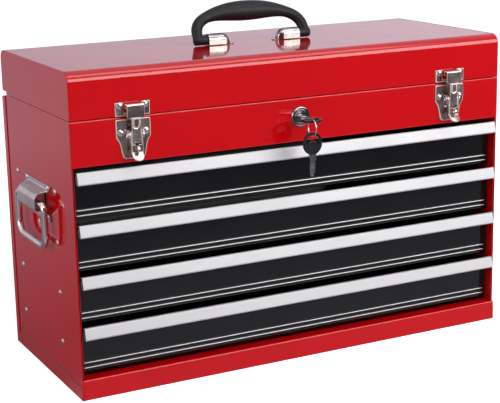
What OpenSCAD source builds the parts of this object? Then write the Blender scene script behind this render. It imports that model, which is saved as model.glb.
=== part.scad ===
// Portable steel tool box: four drawers under a lidded top till, two draw latches,
// a cam lock with two keys, a folding carry handle and a drop bail at each end.
// The origin is the centre of the underside. +Z is up and the front faces -Y.

/* [Case] */
// Overall width, over the back panel's and the pan's side flanges
body_w = 520; // [480:1:640]
// Overall depth of the case
body_d = 216; // [206:1:260]
// Thickness of the sheet steel
sheet = 0.9; // [0.7:0.1:1.2]
// Height of the plinth under the drawers
plinth_h = 22; // [18:1:40]
// Height of the panel between the drawers and the lid
panel_h = 47; // [47:1:60]
// Height of the closed lid
lid_h = 49; // [45:1:80]
// Radius of the lid's front and back top edges
lid_r = 10.6; // [6:0.2:14]
// Width of the flanges that wrap the side panels
wrap_w = 10; // [8:1:14]
// Width of the folded flanges on the side panels and the lid's ends
flange_w = 8; // [5:0.5:12]
// Height of the till floor's upturned edges
till_up = 10; // [6:1:20]
// Thickness of the hem along the front edges of the side panels
hem_t = 2.5; // [2:0.1:4]
// Depth of the hem's return
hem_d = 12; // [8:1:13]
// Depth of the ledge in front of the drawer faces
ledge_d = 13; // [12:0.5:20]
// Gap between the closed lid and the case
seam = 0.6; // [0.4:0.1:1.2]

/* [Drawers] */
// Height from one drawer to the next
pitch = 54; // [50:1:70]
// Gap between one drawer face and the next
face_gap = 2; // [1:0.5:3]
// Gap under the lowest drawer face
low_gap = 4.5; // [3:0.5:6]
// Gap between a drawer's face and the side panel
face_side = 3.3; // [3:0.1:6]
// Sheet thickness of the drawers
tray_t = 0.8; // [0.6:0.1:1]
// Space for the slides on each side of a drawer
slide_gap = 11.6; // [11.5:0.1:14]
// Depth of a drawer behind its face
tray_d = 188; // [170:1:190]
// Height of the drawer walls
tray_h = 42; // [38:1:46]
// How far the pull stands in front of the case
pull_out = 3; // [1:0.5:5]
// Height of the pull
pull_h = 14.9; // [12:0.1:16]
// Thickness of the pull's aluminium
pull_t = 1.2; // [1:0.1:1.5]
// Gap between a pull's end and the side hem
pull_side = 0.8; // [0.6:0.1:3]
// Height of a rail
rail_h = 26; // [24:1:30]
// Height of the rail's centre above the drawer's lower edge
rail_up = 21; // [20:0.5:22]
// Wall of the rails and runners
rail_t = 1; // [0.8:0.1:1.2]
// Running clearance of a runner in its rail
run_gap = 0.3; // [0.3:0.05:0.5]
// Distance between a rail's two rivets
rivet_span = 122; // [100:1:130]
// Radius of the rivet shanks
rivet_r = 2; // [1.5:0.1:2.4]

/* [Lid hardware] */
// Distance of each latch from the middle
latch_x = 192; // [150:1:200]
// Width of the latch plates
latch_w = 37.5; // [36:0.5:44]
// Wall of the latch stampings
latch_t = 1.2; // [1:0.1:1.4]
// Radius of the latch pins
latch_pin_r = 1.5; // [1.2:0.1:1.6]
// Clearance of a pin in its hole
pin_gap = 0.05; // [0.03:0.01:0.1]
// Outer radius of the hinge knuckles
knuckle_r = 2.3; // [2:0.1:2.6]
// Radius of the hinge pin
hinge_pin_r = 1.05; // [0.8:0.05:1.2]
// Number of hinge knuckles
knuckles = 13; // [7:2:17]
// Length of the hinge
hinge_w = 480; // [420:1:490]

/* [Handles] */
// Width between the centres of the carry handle's legs
grip_w = 134; // [120:1:160]
// Height of the grip's centre above its pivot
grip_h = 32.5; // [32:0.5:45]
// Radius of the grip at its belly
grip_r = 11.5; // [8:0.1:11.6]
// Radius of the grip's legs
leg_r = 5.4; // [4.6:0.1:5.6]
// Backward lean of the grip as stored
grip_lean = 32; // [0:1:75]
// Radius of the grip's trunnions
trunnion_r = 5.45; // [5:0.05:5.6]
// Height of the grip's pivot above the lid
pivot_up = 6; // [5.9:0.1:8]
// Width between the legs of a side bail
bail_w = 86; // [84:1:100]
// Length of the legs of a side bail
bail_h = 45; // [40:1:60]
// Radius of the bail's rod
bail_r = 3.5; // [2.8:0.1:3.6]
// Height of the bail's pivot
bail_z = 194.5; // [150:0.5:210]

/* [Lock] */
// Distance from the top of the case down to the lock
lock_down = 20; // [19:0.5:24]
// Radius of the lock's bezel
bezel_r = 11; // [10:0.5:13]
// Radius of the lock's barrel
barrel_r = 9; // [8:0.1:9.4]
// Radius of the plug
plug_r = 6; // [5:0.1:6.5]
// Length of a key's head
head_l = 24.6; // [22:0.2:28]
// Width of a key's head
head_w = 22.6; // [20:0.2:26]
// Thickness of a key's head
head_t = 2.6; // [2:0.1:3]
// Length of the key blades
blade_l = 22.4; // [20:0.2:24]
// Width of the key blades
blade_w = 7.6; // [6:0.1:8]
// Radius of the key ring to the middle of its wire
ring_r = 8.6; // [8:0.1:10]
// Radius of the ring's wire
wire_r = 0.6; // [0.5:0.05:0.7]

/* [Hidden] */
$fn = 64;
e = 0.01;

drawer_count = 4;
panel_z = plinth_h + drawer_count * pitch + 6;
case_top = panel_z + panel_h;
lid_top = case_top + lid_h;
front_y = -body_d / 2 + sheet;
back_y = body_d / 2 - sheet;
side_x = body_w / 2 - sheet;
in_x = side_x - sheet;
rivet_hole = 0.05;
flat_gap = 0.3;
hem_in = 6;

// drawers
face_y = -body_d / 2 + ledge_d;
face_x = side_x - face_side - sheet / 2;
pull_y = -body_d / 2 - pull_out;
pull_x = side_x - hem_t - pull_side;
face_h = pitch - face_gap;
tray_x = in_x - slide_gap;
bead_r = 1.3;
bead_low = 2.9;
bead_high = 7.6;
pull_curve = 13.4;
pull_belly = 10;
ledge_start = 5.1;
trim_d = 8;
pull_return = 4;
rail_y0 = face_y + 4;
rail_y1 = back_y - 5;
rail_d = 9.6;
rail_lip = 3.5;
rail_mid_y = (rail_y0 + rail_y1) / 2 + 3.7;
head_r = 3.6;
head_h = 1.4;
tail_h = 1.1;

// hinge
hinge_y = body_d / 2 - sheet / 2;
hinge_z = case_top;
back_gap = knuckle_r + 0.5;
leaf_t = 0.8;
leaf_h = 20;
knuckle_gap = 0.4;
notch_d = 12;

// latch, measured outward from the case front and up from the seam
lever_out = 6;
lever_z = -18;
claw_z = -24;
strap_out = 8.2;
claw_top = 13.6;
tip_out = 3.3;
tip_drop = 4.5;
hook_out = 5.9;
claw_x = 4.8;
claw_head_x = 9.5;
cheek_x = 5.2;
ear_x = 6.9;
ear_r = 4;
keeper_top = 14.5;
base_top = -2.4;
base_low = -43;
latch_rivet_x = 13.7;
keeper_rivet_z = 11.4;
base_rivet_z = -15.8;
web_top = -29;
slot_low = -37.4;
slot_top = -27;
eye_z = -32;
tab_z = -33.8;
tab_l = 4.2;
tab_r = 6.3;
tab_tilt = 42;
eye_out = 11;
eye_r = 1.6;

// carry handle
pivot_z = lid_top + pivot_up;
arch_r = trunnion_r + pin_gap + 1.5;
arch_out = grip_w / 2 - 10;
arch_in = arch_out - 24;
stub_r = 4.4;

// side handles
bail_out = 9.5;
bracket_t = 1.5;
plate_half = 44;
band_half = 28;
tongue_half = 36;
roof_r = 13.5;
roof_low = -1;
bracket_up = 19;
bracket_down = 20.5;
cheek_y = 20;
bend_r = 14;

// lock and keys
lock_z = case_top - lock_down;
bezel_t = 2.2;
barrel_l = 17;
cam_y = front_y + 19.2;
cam_l = 20;
cam_t = 1.6;
key_y = front_y - 23.9;
rim_w = 3.2;
key_slot = 6.5;
slot_r = 7.6;
ring_x = -4.5;
rim_out = -head_l / 2 * sqrt(1 - pow(2 * ring_x / head_w, 2));
rim_in = slot_r + rim_w - head_l / 2 - sqrt(pow(slot_r, 2) - pow(ring_x, 2));
rim_y = key_y + (rim_out + rim_in) / 2;
ring_in = ring_r - wire_r;
rim_gap = 0.15;
ring_z = lock_z + head_t / 2 + rim_gap - sqrt(pow(ring_in, 2) - pow((rim_in - rim_out) / 2, 2));
rim_corner = norm([rim_w, head_t]) / 2;
swing_r = ring_in - rim_corner - pin_gap;
key2_top = ring_z - swing_r + rim_w / 2;

red = "firebrick";
dark = "dimgray";
zinc = "silver";

// ---- helpers ----

// Extrudes a (Y, Z) outline along X, centred on X = 0
module along_x(len) {
    rotate([90, 0, 90])
        linear_extrude(len, center = true)
            children();
}

// Extrudes an (X, Z) outline along Y, centred on Y = 0
module along_y(len) {
    rotate([90, 0, 0])
        linear_extrude(len, center = true)
            children();
}

module rod_x(r, len) {
    rotate([0, 90, 0])
        cylinder(r = r, h = len, center = true);
}

module rod_y(r, len) {
    rotate([90, 0, 0])
        cylinder(r = r, h = len, center = true);
}

// A box between two corners
module span(a, b) {
    translate(a)
        cube(b - a);
}

// A rectangle between two corners
module area(a, b) {
    translate(a)
        square(b - a);
}

// The child and its mirror image across X = 0
module both_sides() {
    children();
    mirror([1, 0, 0])
        children();
}

// A half outline and its mirror image across its second axis
module both_halves() {
    children();
    mirror([1, 0, 0])
        children();
}

// A domed rivet along +Z: its shank runs down from the surface at Z = 0
module rivet(r, head, height, shank, tail) {
    ball = (pow(head, 2) + pow(height, 2)) / (2 * height);
    intersection() {
        translate([0, 0, height - ball])
            sphere(r = ball);
        cylinder(r = head, h = height);
    }
    translate([0, 0, -shank])
        cylinder(r = r, h = shank + e);
    translate([0, 0, -shank - tail])
        cylinder(r = head * 0.85, h = tail);
}

// ---- places that several pieces share ----

function drawer_z(i) = plinth_h + low_gap + (drawer_count - i) * pitch;
function rail_z(i) = drawer_z(i) + rail_up;

// Every rail rivet on the right-hand side, its axis along +X at the panel's outer face
module at_rail_rivets() {
    for (i = [1:drawer_count])
        for (s = [-1, 1])
            translate([side_x, rail_mid_y + s * rivet_span / 2, rail_z(i)])
                rotate([0, 90, 0])
                    children();
}

handle_rivet_y = 33;
handle_rivet_z = 15.5;
tongue_rivet_y = 31.5;
tongue_rivet_z = -16;

// Every handle rivet on the right-hand side
module at_handle_rivets() {
    for (s = [-1, 1])
        for (p = [[handle_rivet_y, handle_rivet_z], [tongue_rivet_y, tongue_rivet_z]])
            translate([side_x + bracket_t, s * p[0], bail_z + p[1]])
                rotate([0, 90, 0])
                    children();
}

// A latch's own space: X across, +Y outward from the case front, Z from the seam
module at_latch(side) {
    translate([side * latch_x, front_y, case_top])
        mirror([0, 1, 0])
            children();
}

module at_latch_rivets(z) {
    for (s = [-1, 1])
        translate([s * latch_rivet_x, latch_t, z])
            rotate([-90, 0, 0])
                children();
}

// ---- the case ----

module side_panel() {
    rear = [back_y - notch_d, case_top - back_gap - seam];
    difference() {
        union() {
            span([in_x, front_y + sheet, sheet], [side_x, back_y, case_top]);
            span([side_x - flange_w, front_y + sheet, case_top - sheet], [side_x, back_y, case_top]);
            span([side_x - hem_t, front_y, plinth_h + flat_gap],
                 [side_x, front_y + sheet, panel_z - flat_gap]);
            span([side_x - hem_t, front_y, plinth_h + flat_gap],
                 [side_x - hem_t + sheet, front_y + hem_d, panel_z - flat_gap]);
        }
        span([in_x - flange_w, rear[0], rear[1]], [side_x + 1, back_y + 1, case_top + 1]);
        at_rail_rivets()
            cylinder(r = rivet_r + rivet_hole, h = 8, center = true);
        at_handle_rivets()
            cylinder(r = rivet_r + rivet_hole, h = 8, center = true);
    }
}

module left_side_panel() {
    color(red)
        mirror([1, 0, 0])
            side_panel();
}

module right_side_panel() {
    color(red)
        side_panel();
}

module back_panel() {
    top = case_top - back_gap;
    low = sheet + flat_gap;
    mitre = [
        [body_d / 2, low], [body_d / 2, top], [body_d / 2 - wrap_w, top],
        [body_d / 2 - wrap_w, wrap_w + flat_gap], [back_y, low]
    ];
    color(red) {
        span([-body_w / 2, back_y, low], [body_w / 2, body_d / 2, top]);
        both_sides()
            translate([side_x + sheet / 2, 0, 0])
                along_x(sheet)
                    polygon(mitre);
    }
}

module bottom_pan() {
    mitre = [
        [-body_d / 2, 0], [body_d / 2, 0],
        [body_d / 2 - wrap_w, wrap_w], [-body_d / 2, wrap_w]
    ];
    color(red) {
        span([-body_w / 2, -body_d / 2, 0], [body_w / 2, body_d / 2, sheet]);
        both_sides()
            translate([side_x + sheet / 2, 0, 0])
                along_x(sheet)
                    polygon(mitre);
        span([-body_w / 2, -body_d / 2, 0], [body_w / 2, front_y, plinth_h]);
        span([-in_x, -body_d / 2, plinth_h - sheet], [in_x, face_y + 3, plinth_h]);
        span([-in_x, face_y + 3 - sheet, plinth_h - flange_w], [in_x, face_y + 3, plinth_h]);
    }
}

module upper_front_panel() {
    color(red)
        difference() {
            union() {
                span([-side_x, front_y, panel_z], [side_x, front_y + sheet, case_top]);
                span([-side_x + flange_w, front_y, case_top - sheet],
                     [side_x - flange_w, front_y + hem_in, case_top]);
                span([-in_x, front_y, panel_z], [in_x, front_y + ledge_d, panel_z + sheet]);
            }
            translate([0, front_y, lock_z])
                rod_y(barrel_r + rivet_hole, 6);
            for (s = [-1, 1])
                at_latch(s)
                    at_latch_rivets(base_rivet_z)
                        cylinder(r = rivet_r + rivet_hole, h = 8, center = true);
        }
}

module till_floor() {
    x = in_x;
    y0 = front_y + sheet;
    y1 = back_y;
    z = panel_z + sheet;
    color(red) {
        span([-x, y0, z], [x, y1, z + sheet]);
        span([-x, y1 - sheet, z], [x, y1, z + till_up]);
        both_sides()
            span([x - sheet, y0, z], [x, y1, z + till_up]);
    }
}

// ---- slides ----

module rails() {
    half = rail_h / 2;
    x0 = in_x - rail_d;
    difference() {
        for (i = [1:drawer_count])
            translate([0, (rail_y0 + rail_y1) / 2, rail_z(i)])
                along_y(rail_y1 - rail_y0)
                    difference() {
                        area([x0, -half], [in_x, half]);
                        area([x0 + rail_t, -half + rail_t], [in_x - rail_t, half - rail_t]);
                        area([x0 - 1, -half + rail_lip + rail_t], [x0 + 2, half - rail_lip - rail_t]);
                    }
        at_rail_rivets()
            cylinder(r = rivet_r + rivet_hole, h = 8, center = true);
        at_handle_rivets()
            cylinder(r = 3.6, h = 8, center = true);
    }
}

module left_rails() {
    color(zinc)
        mirror([1, 0, 0])
            rails();
}

module right_rails() {
    color(zinc)
        rails();
}

module rail_rivets() {
    color(zinc)
        both_sides()
            at_rail_rivets()
                rivet(rivet_r, head_r, head_h, sheet + rail_t, tail_h);
}

module drawer_runners(i) {
    wing = rail_h / 2 - rail_t - run_gap;
    neck = rail_h / 2 - rail_t - rail_lip - 1;
    x0 = in_x - rail_d + rail_t + 0.6;
    x1 = in_x - rail_t - 0.8;
    y0 = face_y + 5;
    y1 = face_y + tray_d - 2;
    color(zinc)
        both_sides()
            translate([0, (y0 + y1) / 2, rail_z(i)])
                along_y(y1 - y0) {
                    area([tray_x, -neck], [tray_x + rail_t, neck]);
                    for (s = [0, 1])
                        mirror([0, s]) {
                            area([tray_x, neck - rail_t], [x0 + rail_t, neck]);
                            area([x0, neck - rail_t], [x0 + rail_t, wing]);
                            area([x0, wing - rail_t], [x1, wing]);
                        }
                }
}

// ---- drawers ----

// A wall that follows the pull's curved front, seen from the side
module front_arc(z, r, t, low, high) {
    intersection() {
        translate([pull_y + pull_curve, z + face_h - pull_belly])
            difference() {
                circle(r = r);
                circle(r = r - t);
            }
        area([pull_y, z + low], [pull_y + trim_d, z + high]);
    }
}

// The face of a drawer from the side: a wall with two pressed beads, whose top is
// turned forward into a ledge and down into a lip that carries the pull
module face_outline(z) {
    top = z + face_h - pull_t;
    area([face_y, z], [face_y + tray_t, top]);
    area([face_y, z], [face_y + 8, z + tray_t]);
    for (b = [bead_low, bead_high])
        translate([face_y, z + b])
            circle(r = bead_r);
    area([pull_y + ledge_start, top - tray_t], [face_y + tray_t, top]);
    front_arc(z, pull_curve - pull_t, tray_t, face_h - pull_h + pull_t, face_h - pull_t);
}

module drawer_tray(i) {
    z = drawer_z(i);
    floor_z = z + 2;
    back = face_y + tray_d;
    color(dark) {
        along_x(2 * face_x)
            face_outline(z);
        span([-tray_x, face_y, floor_z], [tray_x, back, floor_z + tray_t]);
        both_sides() {
            span([tray_x - tray_t, face_y, floor_z], [tray_x, back, floor_z + tray_h]);
            span([tray_x - 4, face_y, floor_z + tray_h - tray_t], [tray_x, back, floor_z + tray_h]);
        }
        span([-tray_x, back - tray_t, floor_z], [tray_x, back, floor_z + tray_h]);
        span([-tray_x, back - 4, floor_z + tray_h - tray_t], [tray_x, back, floor_z + tray_h]);
    }
}

// The pull from the side: an aluminium trim clipped over the drawer's lip
module pull_outline(z) {
    top = z + face_h;
    low = top - pull_h;
    front_arc(z, pull_curve, pull_t, face_h - pull_h, face_h);
    area([pull_y + ledge_start - 0.2, top - pull_t], [pull_y + trim_d, top]);
    area([pull_y + 1.5, low], [pull_y + pull_return, low + pull_t]);
}

module drawer_pull(i) {
    color(zinc)
        along_x(2 * pull_x)
            pull_outline(drawer_z(i));
}

// ---- the lid ----

// The lid from the side, drawn in by a wall's thickness; it is open below
module lid_outline(wall) {
    low = case_top + seam;
    y0 = front_y + wall;
    y1 = body_d / 2 - wall;
    top = lid_top - wall;
    r = lid_r - wall;
    area([y0, low], [y1, top - r]);
    area([y0 + r, top - r - 1], [y1 - r, top]);
    for (y = [y0 + r, y1 - r])
        translate([y, top - r])
            circle(r = r);
}

// The relief at the lid's lower back edge, where the hinge lies
module lid_relief() {
    span([-body_w, body_d / 2 - sheet - notch_d, case_top - 1],
         [body_w, body_d / 2 + 1, case_top + back_gap + seam]);
}

module lid_skin() {
    y = front_y + sheet;
    color(red) {
        difference() {
            along_x(2 * in_x)
                difference() {
                    lid_outline(0);
                    lid_outline(sheet);
                    area([y, case_top], [body_d / 2 - sheet, case_top + 2]);
                }
            lid_relief();
            at_lid_holes();
        }
        span([-in_x, y - e, case_top + seam], [in_x, front_y + hem_in, case_top + seam + sheet]);
    }
}

// Holes through the lid's skin for the keepers' rivets and the carry brackets' tongues
module at_lid_holes() {
    for (s = [-1, 1]) {
        at_latch(s)
            at_latch_rivets(keeper_rivet_z)
                cylinder(r = rivet_r + rivet_hole, h = 8, center = true);
        for (y = [-1, 1])
            translate([s * (arch_in + arch_out) / 2, y * (arch_r - 0.75), lid_top])
                cube([tongue_w + 0.4, 1.9, 6], center = true);
    }
}

module lid_end() {
    color(red)
        difference() {
            union() {
                translate([side_x - sheet / 2, 0, 0])
                    along_x(sheet)
                        lid_outline(0);
                translate([in_x - (flange_w - sheet / 2) / 2, 0, 0])
                    along_x(flange_w + sheet / 2)
                        difference() {
                            lid_outline(sheet + flat_gap / 3);
                            lid_outline(2 * sheet + flat_gap / 3);
                            area([-body_d, case_top], [body_d, case_top + flange_w]);
                        }
            }
            lid_relief();
        }
}

module lid_left_end() {
    mirror([1, 0, 0])
        lid_end();
}

module lid_right_end() {
    lid_end();
}

// ---- the hinge ----

knuckle_l = hinge_w / knuckles;

// One leaf; up is 1 for the lid's and -1 for the case's, and it starts at knuckle first
module hinge_leaf(up, first) {
    color(zinc)
        difference() {
            union() {
                translate([0, back_y - leaf_t / 2, hinge_z + up * (back_gap + leaf_h / 2)])
                    cube([hinge_w, leaf_t, leaf_h], center = true);
                for (k = [first:2:knuckles - 1])
                    translate([-hinge_w / 2 + (k + 0.5) * knuckle_l, 0, 0]) {
                        translate([0, hinge_y, hinge_z])
                            rod_x(knuckle_r, knuckle_l - knuckle_gap);
                        translate([0, back_y - leaf_t / 2, hinge_z + up * back_gap / 2])
                            cube([knuckle_l - knuckle_gap, leaf_t, back_gap + e], center = true);
                    }
            }
            translate([0, hinge_y, hinge_z])
                rod_x(hinge_pin_r + pin_gap, hinge_w + 2);
        }
}

module case_hinge_leaf() {
    hinge_leaf(-1, 0);
}

module lid_hinge_leaf() {
    hinge_leaf(1, 1);
}

module hinge_pin() {
    color(zinc)
        translate([0, hinge_y, hinge_z])
            rod_x(hinge_pin_r, hinge_w + 1);
}

// ---- draw latches ----

module keeper(side) {
    w = latch_w / 2;
    t = latch_t;
    low = seam + 0.2;
    color(zinc)
        at_latch(side)
            difference() {
                union() {
                    span([-w, 0, low], [w, t, 4]);
                    both_sides()
                        span([claw_head_x + 0.3, 0, low], [w, t, keeper_top]);
                    along_x(16) {
                        area([0, low], [hook_out + t, low + t]);
                        area([hook_out, low], [hook_out + t, claw_top - t - flat_gap]);
                    }
                }
                at_latch_rivets(keeper_rivet_z)
                    cylinder(r = rivet_r + rivet_hole, h = 8, center = true);
            }
}

module keeper_rivets() {
    color(zinc)
        for (s = [-1, 1])
            at_latch(s)
                at_latch_rivets(keeper_rivet_z)
                    rivet(rivet_r, 3.3, 1.6, sheet + latch_t, 0.8);
}

module latch_base(side) {
    w = latch_w / 2;
    t = latch_t;
    hole_r = latch_pin_r + pin_gap;
    outline = [
        [w - 1, base_top], [w, base_top - 1], [w, -20], [w - 0.6, -22], [w - 3, -25.5],
        [w - 4.2, -29], [w - 6.2, base_low + 4], [w - 7.4, base_low + 1.2], [w - 10, base_low],
        [-w + 10, base_low], [-w + 7.4, base_low + 1.2], [-w + 6.2, base_low + 4],
        [-w + 4.2, -29], [-w + 3, -25.5], [-w + 0.6, -22], [-w, -20], [-w, base_top - 1],
        [-w + 1, base_top]
    ];
    color(zinc)
        at_latch(side)
            difference() {
                union() {
                    translate([0, t / 2, 0])
                        along_y(t)
                            polygon(outline);
                    both_sides()
                        translate([ear_x + t / 2, 0, 0])
                            along_x(t) {
                                translate([lever_out, lever_z])
                                    circle(r = ear_r);
                                area([0, lever_z - ear_r], [lever_out, lever_z + ear_r]);
                            }
                    along_x(2.4) {
                        translate([eye_out, eye_z])
                            circle(r = 3.4);
                        area([0, eye_z - 3.4], [eye_out, eye_z + 3.4]);
                    }
                }
                translate([0, lever_out, lever_z])
                    rod_x(hole_r, latch_w);
                translate([0, eye_out + 0.2, eye_z])
                    rod_x(eye_r, 6);
                at_latch_rivets(base_rivet_z)
                    cylinder(r = rivet_r + rivet_hole, h = 8, center = true);
            }
}

module latch_base_rivets() {
    color(zinc)
        for (s = [-1, 1])
            at_latch(s)
                at_latch_rivets(base_rivet_z)
                    rivet(rivet_r, 3.3, 1.6, sheet + latch_t, 0.8);
}

module lever_pins() {
    half = ear_x + latch_t;
    color(zinc)
        for (s = [-1, 1])
            at_latch(s)
                translate([0, lever_out, lever_z]) {
                    rod_x(latch_pin_r, 2 * half + 1);
                    both_sides()
                        translate([half + 0.4, 0, 0])
                            rod_x(2.3, 0.8);
                }
}

// The lever: two cheeks round the pins, a web with a slot for the padlock eye,
// and a round thumb tab turned outward
module lever(side) {
    t = latch_t;
    hole_r = latch_pin_r + pin_gap;
    wide = cheek_x + t;
    color(zinc)
        at_latch(side)
            difference() {
                union() {
                    both_sides()
                        translate([cheek_x + t / 2, 0, 0])
                            along_x(t) {
                                for (z = [lever_z, claw_z])
                                    translate([lever_out, z])
                                        circle(r = 3);
                                area([lever_out - 3, claw_z], [lever_out + 3, lever_z]);
                                polygon([
                                    [lever_out - 3, claw_z], [lever_out + 3, claw_z],
                                    [strap_out + t, web_top], [strap_out + t, tab_z],
                                    [strap_out, tab_z], [strap_out - 2.4, web_top]
                                ]);
                            }
                    span([-wide, strap_out, tab_z - 0.1], [wide, strap_out + t, web_top]);
                    translate([0, strap_out, tab_z])
                        rotate([tab_tilt, 0, 0])
                            translate([0, t / 2, 0])
                                along_y(t) {
                                    translate([0, -tab_l])
                                        circle(r = tab_r);
                                    area([-tab_r, -tab_l], [tab_r, 0]);
                                }
                }
                span([-1.8, 0, slot_low], [1.8, 20, slot_top]);
                for (z = [lever_z, claw_z])
                    translate([0, lever_out, z])
                        rod_x(hole_r, 2 * wide + 1);
            }
}

// The claw: an eye round its pin, a strap up the front, and a head that turns over
// and down behind the keeper's hook
module claw(side) {
    t = latch_t;
    color(zinc)
        at_latch(side)
            difference() {
                union() {
                    along_x(2 * claw_x) {
                        translate([lever_out, claw_z])
                            circle(r = 2.9);
                        area([lever_out, claw_z - 1.5], [strap_out + t, claw_z + 1.5]);
                        area([strap_out, claw_z - 1.5], [strap_out + t, 2]);
                    }
                    along_x(2 * claw_head_x) {
                        area([strap_out, -0.5], [strap_out + t, claw_top - 2]);
                        area([tip_out + 1, claw_top - t], [strap_out + t - 2, claw_top]);
                        area([tip_out, claw_top - t - tip_drop], [tip_out + t, claw_top - 1]);
                        intersection() {
                            area([strap_out + t - 2, claw_top - 2], [strap_out + t, claw_top]);
                            translate([strap_out + t - 2, claw_top - 2])
                                circle(r = 2);
                        }
                        intersection() {
                            area([tip_out, claw_top - t], [tip_out + 1, claw_top]);
                            translate([tip_out + 1, claw_top - 1])
                                circle(r = 1);
                        }
                    }
                }
                translate([0, lever_out, claw_z])
                    rod_x(latch_pin_r + pin_gap, 2 * claw_head_x);
            }
}

module claw_pin(side) {
    color(zinc)
        at_latch(side)
            translate([0, lever_out, claw_z])
                rod_x(latch_pin_r, 2 * (cheek_x + latch_t) + 0.4);
}

// ---- carry handle ----

tongue_w = 8;

// An arched bracket, open at both ends, over one trunnion, with two tongues
// that pass through the lid and are turned over beneath it
module carry_bracket() {
    mid = (arch_in + arch_out) / 2;
    tongue = -sheet - 1.6;
    color(zinc)
        difference() {
            union() {
                translate([mid, 0, pivot_z])
                    along_x(arch_out - arch_in) {
                        circle(r = arch_r);
                        area([-arch_r, -pivot_up], [arch_r, 0]);
                    }
                for (s = [-1, 1]) {
                    y = s * (arch_r - 0.75);
                    translate([mid, y, lid_top + tongue / 2])
                        cube([tongue_w, 1.5, -tongue + 0.2], center = true);
                    translate([mid, y - s * 1.6, lid_top + tongue + 0.6])
                        cube([tongue_w, 4.6, 1.2], center = true);
                }
                span([arch_in - 5, -arch_r, lid_top], [arch_in + 4, -arch_r + 2.4, lid_top + 1.2]);
                span([arch_in - 5, arch_r - 2.4, lid_top], [arch_in + 4, arch_r, lid_top + 1.2]);
            }
            translate([mid, 0, pivot_z])
                rod_x(trunnion_r + pin_gap, arch_out);
            translate([mid, 0, lid_top - 1.4])
                cube([60, 2 * (trunnion_r + pin_gap), pivot_up * 2 + 2.8], center = true);
            translate([arch_in - 3.5, 0, pivot_z + 4])
                rod_y(7.2, 40);
        }
}

module left_carry_bracket() {
    mirror([1, 0, 0])
        carry_bracket();
}

module right_carry_bracket() {
    carry_bracket();
}

// The handle's own space: X across, Z up the handle, leant back as stored
module at_grip() {
    translate([0, 0, pivot_z])
        rotate([-grip_lean, 0, 0])
            children();
}

// The grip's centre line is half a superellipse, from one foot over to the other
grip_n = 3;
grip_rings = 48;
grip_sides = 24;
leg_swell = 0.9;
function grip_point(a) = [
    grip_w / 2 * sign(cos(a)) * pow(abs(cos(a)), 2 / grip_n),
    grip_h * pow(max(sin(a), 0), 2 / grip_n)
];
function grip_dir(a) = let (p = grip_point(max(a - 1, 0)), q = grip_point(min(a + 1, 180)))
    (q - p) / norm(q - p);
// Radius along the grip: it widens above the foot and swells to the belly's in the middle
function grip_radius(p) = let (u = min(abs(p[0]) / (grip_w * 0.38), 1), up = min(p[1] / 12, 1))
    leg_r + leg_swell * up + (grip_r - leg_r - leg_swell) * pow(cos(90 * u), 1.2);
// One ring of points round the centre line at p, square to the direction d
function ring_at(p, d, r) = [
    for (k = [0:grip_sides - 1])
        let (w = 360 * k / grip_sides)
        [p[0] - d[1] * r * cos(w), 0.92 * r * sin(w), p[1] + d[0] * r * cos(w)]
];
function grip_ring(a) = let (p = grip_point(a)) ring_at(p, grip_dir(a), grip_radius(p));
// The rounded foot under a leg: t falls from 80 degrees at the tip to 20 near the leg
function foot_ring(side, t) =
    ring_at([side * grip_w / 2, -leg_r * sin(t)], [0, side], leg_r * cos(t));
// Angles that spread the rings evenly over the feet and the corners
function grip_angle(k) = let (u = k / grip_rings) 180 * (u - sin(360 * u) / (2 * PI) * 0.7);

module grip_bar() {
    rings = concat(
        [for (t = [80:-20:20]) foot_ring(1, t)],
        [for (k = [0:grip_rings]) grip_ring(grip_angle(k))],
        [for (t = [20:20:80]) foot_ring(-1, t)]
    );
    points = [for (ring = rings) each ring];
    n = grip_sides;
    last = (len(rings) - 1) * n;
    faces = concat(
        [[for (k = [n - 1:-1:0]) k]],
        [[for (k = [0:n - 1]) last + k]],
        [for (j = [0:len(rings) - 2])
            for (k = [0:n - 1])
                [j * n + k, j * n + (k + 1) % n, (j + 1) * n + k]],
        [for (j = [0:len(rings) - 2])
            for (k = [0:n - 1])
                [j * n + (k + 1) % n, (j + 1) * n + (k + 1) % n, (j + 1) * n + k]]
    );
    polyhedron(points = points, faces = faces, convexity = 4);
}

module carry_grip() {
    color(dark)
        at_grip()
            grip_bar();
}

// The trunnions: a thick journal inside each bracket, and a neck pressed into the foot
module grip_trunnions() {
    color(dark)
        at_grip()
            both_sides() {
                translate([(arch_in + arch_out) / 2 + 1, 0, 0])
                    rod_x(trunnion_r, arch_out - arch_in - 6);
                translate([(arch_out + grip_w / 2) / 2 - 2, 0, 0])
                    rod_x(stub_r, grip_w / 2 - arch_out + 4);
            }
}

// ---- side handles ----

// A bracket's own space: X outward from the side panel, Y along it, Z from the pivot
module at_side() {
    translate([side_x, 0, bail_z])
        children();
}

// The stamping from the end: top flange on the panel, a round roof over the bail's
// pins, and a front that returns to the panel below as a broad tongue
module bracket_outline() {
    t = bracket_t;
    out = t + roof_r;
    area([0, roof_low + roof_r - t], [t, bracket_up]);
    intersection() {
        translate([t, roof_low])
            difference() {
                circle(r = roof_r);
                circle(r = roof_r - t);
            }
        area([0, roof_low], [out, roof_low + roof_r]);
    }
    polygon([
        [out, roof_low], [out, -6.6], [t, -12.4], [t, -bracket_down], [0, -bracket_down],
        [0, -11.4], [out - t, -5.6], [out - t, roof_low]
    ]);
}

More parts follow.
